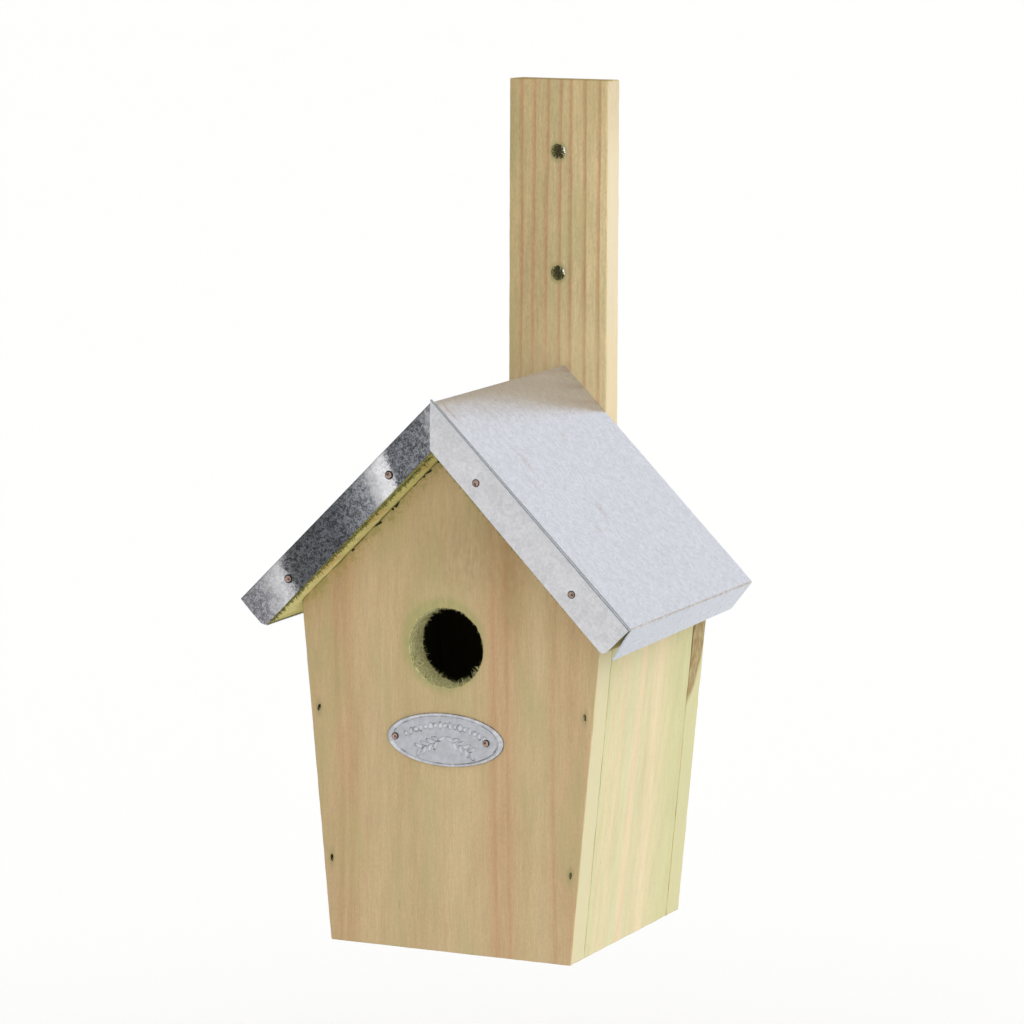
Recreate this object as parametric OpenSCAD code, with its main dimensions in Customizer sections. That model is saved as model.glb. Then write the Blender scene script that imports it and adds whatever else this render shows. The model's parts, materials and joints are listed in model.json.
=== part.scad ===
// Nest box with an entrance hole, a sheet-covered gable roof, a hanging batten
// and a floor that swings down for cleaning.
// X runs to the right, Y to the back, Z up. The origin is on the ground, midway
// across the roof and midway between the foremost nail head and the batten's back.

/* [Box] */
// Width of the front and back boards along the bottom
base_w = 106; // [90:1:124]
// Width of the front and back boards at the eaves
eave_w = 131.5; // [125:0.5:160]
// Height of the eaves above the bottom
eave_h = 138; // [114:1:180]
// Depth from the front board's face to the back board's rear face
box_d = 109; // [88:1:140]
// Thickness of the front, back, side and floor boards
board_t = 13; // [10.5:0.1:16]

/* [Entrance] */
// Diameter of the entrance hole
entrance_d = 32; // [26:1:38]
// Distance of the hole's centre below the eaves
entrance_drop = 14.5; // [10:0.5:30]
// Distance of the hole's centre to the right of the middle
entrance_x = -1.8; // [-5:0.1:5]

/* [Roof] */
// Thickness of the roof boards
roof_t = 14; // [11:0.1:18]
// Length of roof board beyond the eaves, along the slope
eave_overhang = 11.4; // [6:0.1:25]
// Length of roof board in front of the front board
front_overhang = 16.2; // [8:0.1:30]
// Thickness of the sheet that covers the roof
sheet_t = 0.6; // [0.4:0.1:1]
// Height of the sheet's front fascia, square to the slope
fascia_h = 14; // [8:0.5:16]
// Height of the sheet's flange at the eaves
flange_h = 15; // [8:0.5:18]
// Angle by which the left eave flange flares away from the board's end
flare_left = 0; // [0:1:20]
// Angle by which the right eave flange flares away from the board's end
flare_right = 10; // [0:1:20]

/* [Batten] */
// Width of the hanging batten
batten_w = 44; // [36:1:60]
// Thickness of the hanging batten
batten_t = 12; // [9:0.5:18]
// Height of the batten's top above the ridge
batten_rise = 117.6; // [95:0.1:160]
// Height of the batten's lower end above the bottom
batten_foot = 10; // [8:1:25]
// Distance of the batten's centre line to the right of the middle
batten_x = -3; // [-10:0.5:10]
// Diameter of the two holes for the wall screws
hang_hole_d = 6; // [4:0.5:8]
// Distance of the upper hole below the batten's top
hang_hole_drop = 30; // [15:1:40]
// Distance between the two holes
hang_hole_pitch = 50; // [35:1:60]

/* [Floor] */
// Height of the floor's underside above the bottom
floor_up = 5; // [5:0.5:10]
// Gap between the floor and the boards beside and behind it
floor_gap = 0.9; // [0.7:0.1:2]
// Gap between the floor and the front board, which lets water out
drain_gap = 2.6; // [2:0.1:4]
// Diameter of the pins that the floor swings on
pivot_d = 4; // [3:0.5:5]
// Length of each pivot pin
pivot_l = 20; // [16:1:22]
// Radial clearance of a pin or a screw that something turns on
turn_fit = 0.05; // [0.02:0.01:0.1]

/* [Turn button] */
// Length of the turn button
button_l = 27; // [24:1:30]
// Width of the turn button
button_w = 9; // [7:0.5:10]
// Thickness of the turn button
button_t = 1.5; // [1:0.1:1.6]

/* [Plaque] */
// Length of the oval plaque
plaque_l = 51; // [40:1:60]
// Height of the oval plaque
plaque_h = 21.5; // [16:0.5:26]
// Thickness of the plaque
plaque_t = 0.8; // [0.5:0.1:1.5]
// Distance of the plaque's centre below the centre of the entrance
plaque_drop = 37; // [32:0.5:45]
// Distances of the plaque's two nails to the right of its centre
plaque_nail_x = [-22, 18]; // [-23:1:23]
// Angle by which the plaque is nailed on out of level
plaque_tilt = 0.5; // [0:0.1:2]

/* [Nail places] */
// Heights of the brads along the front board's left edge
brad_z_left = [34, 95]; // [30:1:105]
// Heights of the brads along the front board's right edge
brad_z_right = [36.5, 100.5]; // [30:0.5:105]
// Distance of these brads from the board's edge
brad_inset = 3.7; // [3:0.1:6]
// Distances of the left fascia nails down the slope from the ridge
fascia_nail_left = [34, 97]; // [20:1:105]
// Distances of the right fascia nails down the slope from the ridge
fascia_nail_right = [35, 93]; // [20:1:105]
// Distance of the fascia nails below the top of the roof boards
fascia_nail_in = 7.8; // [5:0.1:9]

/* [Hidden] */
$fn = 64;

// Cuts run past the faces that they open by this much.
past = 1;

// Nails and screws: shank diameter, length, head diameter, head thickness
brad = [1.4, 26, 1.9, 1];
brad_sunk = 0.5;
roof_nail = [1.8, 30, 3.2, 0.6];
fascia_nail = [1.6, 18, 3.2, 0.8];
plaque_nail = [1.1, 9, 2.6, 0.7];
batten_screw = [3.6, 21, 7, 2.6];
button_screw = [3, 20, 7, 1.7];

// The two slopes meet at a right angle, so one roof board butts square against the other.
pitch = 45;
diag = sqrt(2);
gable_z = eave_h + eave_w / 2;
ridge_z = gable_z + roof_t * diag;
roof_top_z = ridge_z + sheet_t * diag;
slope_l = roof_t + eave_w / 2 * diag + eave_overhang;

// Front to back
depth = fascia_nail[3] + sheet_t + front_overhang + box_d + batten_t;
roof_y = -depth / 2 + fascia_nail[3] + sheet_t;
front_y = roof_y + front_overhang;
rear_y = front_y + box_d;
side_y = front_y + board_t;
side_l = box_d - 2 * board_t;

// The sides lean outwards between the bottom and the eaves.
lean = atan((eave_w - base_w) / 2 / eave_h);
side_t_level = board_t / cos(lean);
function outer_x(z) = base_w / 2 + z * tan(lean);
function inner_x(z) = outer_x(z) - side_t_level;
side_top_x = (base_w / 2 - side_t_level + gable_z * tan(lean)) / (1 + tan(lean));

entrance_z = eave_h - entrance_drop;
plaque_z = entrance_z - plaque_drop;
batten_top = roof_top_z + batten_rise;
batten_screw_x = [batten_x - batten_w / 4, batten_x + batten_w / 4];
batten_screw_z = [32, eave_h];
back_brad_z = [35, 98];

// The floor turns on an axis just far enough behind the front board for the floor's front
// corners to pass the board with swing_clear to spare.
swing_clear = 0.6;
pivot_back = (pow(board_t / 2, 2) + pow(drain_gap, 2) - pow(swing_clear, 2))
    / (2 * (drain_gap - swing_clear));
pivot_y = side_y + pivot_back;
pivot_z = floor_up + board_t / 2;
floor_w = 2 * (inner_x(0) - floor_gap);
floor_l = side_l - drain_gap - floor_gap;
// Each pin reaches this far into its side board, and leaves wood outside it.
pivot_bite = board_t * 0.6;
pivot_end_x = inner_x(pivot_z) + pivot_bite;

// The turn button hangs in a notch in the back board's bottom edge.
notch_h = floor_up - 0.4;
button_top = notch_h - 0.3;
button_z = button_top - button_t;
button_axis_y = rear_y - board_t / 2;
notch_margin = 1.5;
notch_x0 = -button_w / 2 - notch_margin;
notch_w = button_l + 2 * notch_margin;
head_gap = 0.2;

roof_nail_x = [36, 82];
ridge_nail_x = roof_t / 2;
ridge_nail_end = 15;

// Stands a flat outline up, with its front face at y and its thickness t to the back.
module upright(y, t) {
    translate([0, y + t, 0]) rotate([90, 0, 0]) linear_extrude(t) children();
}

// Puts children on a slope: x runs down it from the ridge, z is square to the roof board.
module on_slope(side) {
    mirror([side < 0 ? 1 : 0, 0, 0]) translate([0, 0, ridge_z]) rotate([0, pitch, 0]) children();
}

// A nail or screw that points along +Y, with the underside of its flat head at the origin.
module nail(size) {
    rotate([-90, 0, 0]) cylinder(h = size[1], d = size[0]);
    rotate([90, 0, 0]) cylinder(h = size[3], d = size[2]);
}

// A countersunk screw that points along -Y, with its head's flat face at the origin.
module sunk_screw(size) {
    rotate([90, 0, 0]) cylinder(h = size[1], d = size[0]);
    rotate([90, 0, 0]) cylinder(h = size[3], d1 = size[2], d2 = size[0]);
}

module gable_outline() {
    polygon([
        [-base_w / 2, 0], [base_w / 2, 0], [eave_w / 2, eave_h], [0, gable_z], [-eave_w / 2, eave_h]
    ]);
}

module all_front_brads() {
    for (z = brad_z_left) translate([brad_inset - outer_x(z), front_y + brad_sunk + brad[3], z]) nail(brad);
    for (z = brad_z_right) translate([outer_x(z) - brad_inset, front_y + brad_sunk + brad[3], z]) nail(brad);
}

module all_back_brads() {
    for (z = back_brad_z, side = [-1, 1])
        translate([side * (outer_x(z) - brad_inset), rear_y - brad_sunk - brad[3], z])
            mirror([0, 1, 0]) nail(brad);
}

module all_roof_brads() {
    for (side = [-1, 1], x = roof_nail_x, y = [front_y + board_t / 2, rear_y - board_t / 2])
        on_slope(side) translate([x, y, -roof_nail[3]]) rotate([-90, 0, 0]) nail(roof_nail);
}

module all_ridge_brads() {
    y_first = roof_y + ridge_nail_end;
    y_last = rear_y - ridge_nail_end;
    for (y = [y_first, (y_first + y_last) / 2, y_last])
        on_slope(1) translate([ridge_nail_x, y, -roof_nail[3]]) rotate([-90, 0, 0]) nail(roof_nail);
}

module all_fascia_nails() {
    for (x = fascia_nail_left) on_slope(-1) translate([x, roof_y - sheet_t, -fascia_nail_in]) nail(fascia_nail);
    for (x = fascia_nail_right) on_slope(1) translate([x, roof_y - sheet_t, -fascia_nail_in]) nail(fascia_nail);
}

module at_plaque() {
    translate([entrance_x, front_y, plaque_z]) rotate([0, -plaque_tilt, 0]) children();
}

module all_plaque_nails() {
    at_plaque() for (x = plaque_nail_x) translate([x, -plaque_t, 0]) nail(plaque_nail);
}

module all_batten_screws() {
    for (x = batten_screw_x, z = batten_screw_z)
        translate([x, rear_y + batten_t, z]) sunk_screw(batten_screw);
}

module all_pivot_pins(slack = 0) {
    for (side = [-1, 1])
        translate([side * (pivot_end_x - pivot_l / 2), pivot_y, pivot_z]) rotate([0, 90, 0])
            cylinder(h = pivot_l + 2 * slack, d = pivot_d + 2 * slack, center = true);
}

module front_board() {
    color("tan") difference() {
        upright(front_y, board_t) gable_outline();
        translate([entrance_x, front_y - past, entrance_z]) rotate([-90, 0, 0])
            cylinder(h = board_t + 2 * past, d = entrance_d);
        all_front_brads();
        for (z = brad_z_left) translate([brad_inset - outer_x(z), front_y, z]) sunk_mouth();
        for (z = brad_z_right) translate([outer_x(z) - brad_inset, front_y, z]) sunk_mouth();
        all_roof_brads();
        all_plaque_nails();
    }
}

// The open mouth above a brad that is driven below the surface.
module sunk_mouth() {
    rotate([-90, 0, 0]) cylinder(h = 2 * (brad_sunk + brad[3] / 2), d = brad[2], center = true);
}

module back_board() {
    color("tan") difference() {
        upright(rear_y - board_t, board_t) gable_outline();
        translate([notch_x0, rear_y - board_t - past, -past])
            cube([notch_w, board_t + 2 * past, notch_h + past]);
        all_back_brads();
        for (z = back_brad_z, side = [-1, 1])
            translate([side * (outer_x(z) - brad_inset), rear_y, z]) sunk_mouth();
        all_roof_brads();
        all_batten_screws();
        turn_button_screw_solid();
    }
}

module side_board(side) {
    difference() {
        mirror([side < 0 ? 1 : 0, 0, 0]) upright(side_y, side_l) polygon([
            [inner_x(0), 0], [outer_x(0), 0], [outer_x(eave_h), eave_h],
            [side_top_x, gable_z - side_top_x]
        ]);
        all_front_brads();
        all_back_brads();
        all_pivot_pins(turn_fit);
    }
}

module left_side() {
    color("wheat") side_board(-1);
}

module right_side() {
    color("wheat") side_board(1);
}

// A roof board from the distance x0 below the ridge down to its lower end.
module roof_board(side, x0) {
    difference() {
        on_slope(side) translate([x0, roof_y, -roof_t]) cube([slope_l - x0, rear_y - roof_y, roof_t]);
        all_roof_brads();
        all_ridge_brads();
        all_fascia_nails();
    }
}

module left_roof_board() {
    color("khaki") roof_board(-1, roof_t);
}

module right_roof_board() {
    color("khaki") roof_board(1, 0);
}

// One half of the folded sheet: slope, front fascia and eave flange.
module sheet_half(side, flare) {
    sheet_d = rear_y - roof_y + sheet_t;
    on_slope(side) translate([0, roof_y - sheet_t, 0]) {
        translate([-sheet_t, 0, 0]) cube([slope_l + 2 * sheet_t, sheet_d, sheet_t]);
        translate([-sheet_t, 0, sheet_t - fascia_h]) cube([slope_l + 2 * sheet_t, sheet_t, fascia_h]);
        translate([slope_l, 0, sheet_t / 2]) rotate([0, -flare, 0])
            translate([0, 0, -flange_h]) cube([sheet_t, sheet_d, flange_h]);
    }
}

module roof_cover() {
    color("lightsteelblue") difference() {
        union() {
            sheet_half(-1, flare_left);
            sheet_half(1, flare_right);
        }
        all_fascia_nails();
    }
}

module hanging_batten() {
    color("burlywood") difference() {
        translate([batten_x - batten_w / 2, rear_y, batten_foot])
            cube([batten_w, batten_t, batten_top - batten_foot]);
        for (drop = [hang_hole_drop, hang_hole_drop + hang_hole_pitch])
            translate([batten_x, rear_y - past, batten_top - drop]) rotate([-90, 0, 0])
                cylinder(h = batten_t + 2 * past, d = hang_hole_d);
        all_batten_screws();
    }
}

module batten_screws() {
    color("silver") all_batten_screws();
}

module front_brads() {
    color("dimgray") all_front_brads();
}

module back_brads() {
    color("dimgray") all_back_brads();
}

module roof_brads() {
    color("gray") all_roof_brads();
}

module ridge_brads() {
    color("gray") all_ridge_brads();
}

module fascia_nails() {
    color("peru") all_fascia_nails();
}

module name_plaque() {
    steps = 72;
    color("slategray") difference() {
        at_plaque() upright(-plaque_t, plaque_t) polygon([
            for (i = [0 : steps - 1])
                [plaque_l / 2 * cos(i * 360 / steps), plaque_h / 2 * sin(i * 360 / steps)]
        ]);
        all_plaque_nails();
    }
}

module plaque_nails() {
    color("peru") all_plaque_nails();
}

module floor_panel() {
    color("navajowhite") difference() {
        translate([-floor_w / 2, side_y + drain_gap, floor_up]) cube([floor_w, floor_l, board_t]);
        all_pivot_pins();
    }
}

module floor_pivot_pins() {
    color("silver") all_pivot_pins();
}

module turn_button() {
    tip_x = button_l - button_w;
    color("gainsboro") translate([0, button_axis_y, button_z]) difference() {
        union() {
            cylinder(h = button_t, d = button_w);
            translate([0, -button_w / 2, 0]) cube([tip_x, button_w, button_t]);
            translate([tip_x, 0, 0]) cylinder(h = button_t, d = button_w);
        }
        translate([0, 0, -past]) cylinder(h = button_t + 2 * past, d = button_screw[0] + 2 * turn_fit);
    }
}

module turn_button_screw_solid() {
    translate([0, button_axis_y, button_z - head_gap]) rotate([90, 0, 0]) nail(button_screw);
}

module turn_button_screw() {
    color("silver") turn_button_screw_solid();
}

front_board();
back_board();
left_side();
right_side();
left_roof_board();
right_roof_board();
roof_cover();
hanging_batten();
batten_screws();
front_brads();
back_brads();
roof_brads();
ridge_brads();
fascia_nails();
name_plaque();
plaque_nails();
floor_panel();
floor_pivot_pins();
turn_button();
turn_button_screw();
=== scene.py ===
"""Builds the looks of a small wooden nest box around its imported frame."""

import json
import math
import random

import bmesh
import bpy
from mathutils import Matrix, Vector, noise
from mathutils.geometry import convex_hull_2d


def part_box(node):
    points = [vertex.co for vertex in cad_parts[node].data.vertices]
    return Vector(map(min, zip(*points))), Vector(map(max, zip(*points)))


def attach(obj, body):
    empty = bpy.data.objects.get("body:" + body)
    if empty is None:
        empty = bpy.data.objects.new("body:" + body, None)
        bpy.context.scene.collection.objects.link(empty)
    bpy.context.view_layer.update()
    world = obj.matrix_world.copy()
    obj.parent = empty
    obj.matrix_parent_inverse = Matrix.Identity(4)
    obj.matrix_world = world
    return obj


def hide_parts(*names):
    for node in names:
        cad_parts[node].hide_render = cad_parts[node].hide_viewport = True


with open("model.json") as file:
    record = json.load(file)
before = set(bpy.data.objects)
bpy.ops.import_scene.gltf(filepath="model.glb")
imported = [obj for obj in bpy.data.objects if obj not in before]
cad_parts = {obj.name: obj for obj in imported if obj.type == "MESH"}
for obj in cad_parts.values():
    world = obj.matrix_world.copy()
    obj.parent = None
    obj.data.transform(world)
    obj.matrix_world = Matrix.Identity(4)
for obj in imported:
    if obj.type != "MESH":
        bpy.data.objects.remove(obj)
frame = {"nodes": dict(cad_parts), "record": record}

bl_info = {
    "name": "Nest box",
    "version": (1, 0, 0),
    "blender": (4, 5, 0),
    "location": "3D View > Sidebar > Nest box",
    "description": "Makes the boards, the sheet roof, the nails and the plaque of a nest box",
    "category": "Add Mesh",
}

MM = 0.001
DIAG = math.sqrt(2)
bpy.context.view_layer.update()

# Sizes and places that the frame already holds
FRONT_LOW, FRONT_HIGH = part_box("front_board")
BACK_LOW, BACK_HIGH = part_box("back_board")
BATTEN_LOW, BATTEN_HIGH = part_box("hanging_batten")
ROOF_LOW, ROOF_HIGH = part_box("right_roof_board")
COVER_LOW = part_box("roof_cover")[0]
PLAQUE_LOW, PLAQUE_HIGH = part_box("name_plaque")
BOARD_T = FRONT_HIGH.y - FRONT_LOW.y
RIDGE_Z = ROOF_HIGH.z
SLOPE_L = ROOF_HIGH.x * DIAG
ROOF_T = -ROOF_LOW.x * DIAG
SHEET_T = ROOF_LOW.y - COVER_LOW.y
FACE_Y = COVER_LOW.y
RECORD = frame["record"]
ENTRANCE_BOX = next(o for o in RECORD["physics"]["openings"] if o["name"] == "entrance_hole")["box_m"]
ENTRANCE = Vector([(a + b) / 2 for a, b in zip(*ENTRANCE_BOX)])
SCREW_HOLES = next(m for m in RECORD["mounts"] if m["name"] == "wall_screw_holes")


def linear(text):
    """The linear colour of an sRGB hex value such as "#C3AB82"."""
    parts = [int(text[i:i + 2], 16) / 255 for i in (1, 3, 5)]
    return tuple(c / 12.92 if c <= 0.04045 else ((c + 0.055) / 1.055) ** 2.4 for c in parts)


# ---------------------------------------------------------------- settings

def length_setting(name, description, default, low, high):
    """A setting whose numbers are given in millimetres."""
    return bpy.props.FloatProperty(
        name=name, description=description, default=default * MM, min=low * MM, max=high * MM,
        unit="LENGTH", precision=4)


def angle_setting(name, description, degrees):
    """A setting whose number is given in degrees."""
    return bpy.props.FloatProperty(
        name=name, description=description, default=math.radians(degrees), min=0, max=math.radians(20),
        unit="ROTATION")


def colour_setting(name, description, text):
    return bpy.props.FloatVectorProperty(
        name=name, description=description, default=linear(text), size=3, subtype="COLOR", min=0, max=1)


class NestBoxSizes(bpy.types.PropertyGroup):
    arris: length_setting("Arris", "Width of the worn edge of each board", 0.6, 0.1, 2)
    seam: length_setting("Seam", "Open gap between the front board and each side board", 0.4, 0, 1)
    bend: length_setting("Bend", "Outer radius of the folds in the roof sheet", 0.8, 0.6, 3)
    fascia_h: length_setting("Fascia", "Height of the fascia at the ridge, square to the slope", 14, 8, 16)
    fascia_growth: length_setting(
        "Fascia growth", "How much higher the fascia is at the eaves than at the ridge", 1.1, 0, 2)
    flange_h: length_setting("Flange", "Height of the flange at the eaves", 15, 8, 18)
    flare_front: angle_setting("Front flare", "How far the right flange stands off at its front end", 13.5)
    flare_rear: angle_setting("Rear flare", "How far the right flange stands off at its rear end", 7)
    relief: length_setting("Relief", "Height of the stamped pattern on the plaque", 0.3, 0.1, 0.4)
    fibres: bpy.props.IntProperty(
        name="Fibres", description="Number of torn fibres round the entrance", default=760, min=0, max=3000)


class NestBoxColours(bpy.types.PropertyGroup):
    green_salt: colour_setting("Green salt", "Tint left where the preservative soaked in", "#A5A46C")
    latewood: colour_setting("Latewood", "Dark line at the end of each year's growth", "#AD8058")
    copper: colour_setting("Copper", "Plating of the small nails", "#BBA193")
    zinc: colour_setting("Zinc", "Plating of the screws, pins and the turn button", "#C2C2BE")
    studio: colour_setting("Studio", "Colour of the floor", "#FAFAF9")


def sizes():
    return bpy.context.scene.nest_box_sizes


def colours():
    return bpy.context.scene.nest_box_colours


# ---------------------------------------------------------------- materials

SMOOTH = {"interpolation_type": "SMOOTHSTEP"}
RGBA = {"data_type": "RGBA", "out": 2}
TIMES = {"operation": "MULTIPLY"}
PLUS = {"operation": "ADD"}


def add_node(tree, kind, inputs=(), out=0, stops=None, **settings):
    """Adds a node and gives one of its outputs. inputs holds values, hex colours or links, as a list
    for the first sockets or as a dict; stops are a ramp's."""
    node = tree.nodes.new("ShaderNode" + kind)
    for name, value in settings.items():
        setattr(node, name, value)
    for key, value in inputs.items() if isinstance(inputs, dict) else enumerate(inputs):
        if isinstance(value, bpy.types.NodeSocket):
            tree.links.new(value, node.inputs[key])
        else:
            node.inputs[key].default_value = (*linear(value), 1) if isinstance(value, str) else value
    if stops:
        ramp = node.color_ramp
        while len(ramp.elements) < len(stops):
            ramp.elements.new(0.5)
        for element, (place, colour) in zip(ramp.elements, stops):
            element.position = place
            element.color = (*(linear(colour) if isinstance(colour, str) else colour), 1)
    return node.outputs[out]


def blank_material(name, **sockets):
    """A new material, its node tree and its shader, with the given constant socket values."""
    material = bpy.data.materials.new(name)
    material.use_nodes = True
    tree = material.node_tree
    shader = tree.nodes["Principled BSDF"]
    for socket, value in sockets.items():
        shader.inputs[socket.replace("_", " ")].default_value = value
    return material, tree, shader


def dress(tree, shader, colour, height, strength, depth, roughness=None):
    """Gives the shader its colour, and a bump that is depth millimetres deep."""
    tree.links.new(colour, shader.inputs["Base Color"])
    if roughness:
        tree.links.new(roughness, shader.inputs["Roughness"])
    bump = add_node(tree, "Bump", {"Strength": strength, "Distance": depth * MM, "Height": height})
    tree.links.new(bump, shader.inputs["Normal"])


def object_millimetres(tree):
    """The piece's own coordinates in millimetres."""
    place = add_node(tree, "TexCoord", out="Object")
    return add_node(tree, "VectorMath", [place, (1 / MM,) * 3], **TIMES)


def speckle(tree, place, size, detail=2.0, roughness=0.5):
    """Noise whose spots are size millimetres along each axis of place."""
    scaled = add_node(tree, "VectorMath", [place, tuple(1 / s for s in size)], **TIMES)
    return add_node(
        tree, "TexNoise", {"Vector": scaled, "Scale": 1, "Detail": detail, "Roughness": roughness})


def shaded(tree, colour, pattern, low, high, dark, light):
    """The colour, darker where the pattern is under low and lighter where it is over high."""
    shade = add_node(tree, "MapRange", [pattern, low, high, dark, light], **SMOOTH)
    grey = add_node(tree, "CombineXYZ", [shade] * 3)
    return add_node(tree, "Mix", {0: 1.0, 6: colour, 7: grey}, blend_type="MULTIPLY", **RGBA)


def patches(tree, colour, place, ragged, spots):
    """The colour with stains on it. spots are (centre, reach, solid, tint, strength): a stain fades
    to nothing where its distance, scaled by reach in millimetres, goes from solid to 1."""
    for centre, reach, solid, tint, strength in spots:
        away = add_node(tree, "VectorMath", [place, centre], operation="SUBTRACT")
        scaled = add_node(tree, "VectorMath", [away, tuple(1 / r for r in reach)], **TIMES)
        far = add_node(tree, "VectorMath", [scaled], out="Value", operation="LENGTH")
        mask = add_node(tree, "MapRange", [far, solid, 1, 1, 0], **SMOOTH)
        mask = add_node(tree, "Math", [mask, ragged], **TIMES)
        mask = add_node(tree, "Math", [mask, strength], **TIMES)
        colour = add_node(tree, "Mix", {0: mask, 6: colour, 7: tint}, **RGBA)
    return colour


def ramp_over(tree, value, stops):
    """A ramp of (millimetres, colour) stops over a value in millimetres."""
    low, high = stops[0][0], stops[-1][0]
    share = add_node(tree, "MapRange", [value, low, high])
    return add_node(
        tree, "ValToRGB", [share], stops=[((at - low) / (high - low), colour) for at, colour in stops])


def growth_rings(tree, grain, pith, ring):
    """Latewood, 0 to 1, of rings about a pith that is off the board and leans a little, so that flat
    faces show long flames and cut ends show arcs. ring is a year's growth in millimetres."""
    x, y, z = (add_node(tree, "SeparateXYZ", [grain], out=axis) for axis in "XYZ")
    lean = add_node(tree, "Math", [z, 0.09, pith[1]], operation="MULTIPLY_ADD")
    bowed = add_node(tree, "MapRange", [speckle(tree, grain, (30, 30, 120), 2), 0.1, 0.9, -4, 4], **SMOOTH)
    dx = add_node(tree, "Math", [x, pith[0]], operation="SUBTRACT")
    dy = add_node(tree, "Math", [y, lean], operation="SUBTRACT")
    across = add_node(tree, "CombineXYZ", [dx, dy])
    radius = add_node(tree, "VectorMath", [across], out="Value", operation="LENGTH")
    radius = add_node(tree, "Math", [radius, bowed], **PLUS)
    years = add_node(tree, "Math", [radius, 1 / ring], **TIMES)
    year = add_node(tree, "Math", [years], operation="FRACT")
    late = add_node(tree, "ValToRGB", [year], stops=[
        (at, (grey,) * 3) for at, grey in ((0.0, 0.3), (0.08, 0), (0.5, 0.05), (0.85, 1), (1.0, 0.3))])
    uneven = speckle(tree, grain, (9, 9, 90), 2)
    uneven = add_node(tree, "MapRange", [uneven, 0.25, 0.75, 0.35, 1], **SMOOTH)
    return add_node(tree, "Math", [late, uneven], **TIMES)


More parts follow.
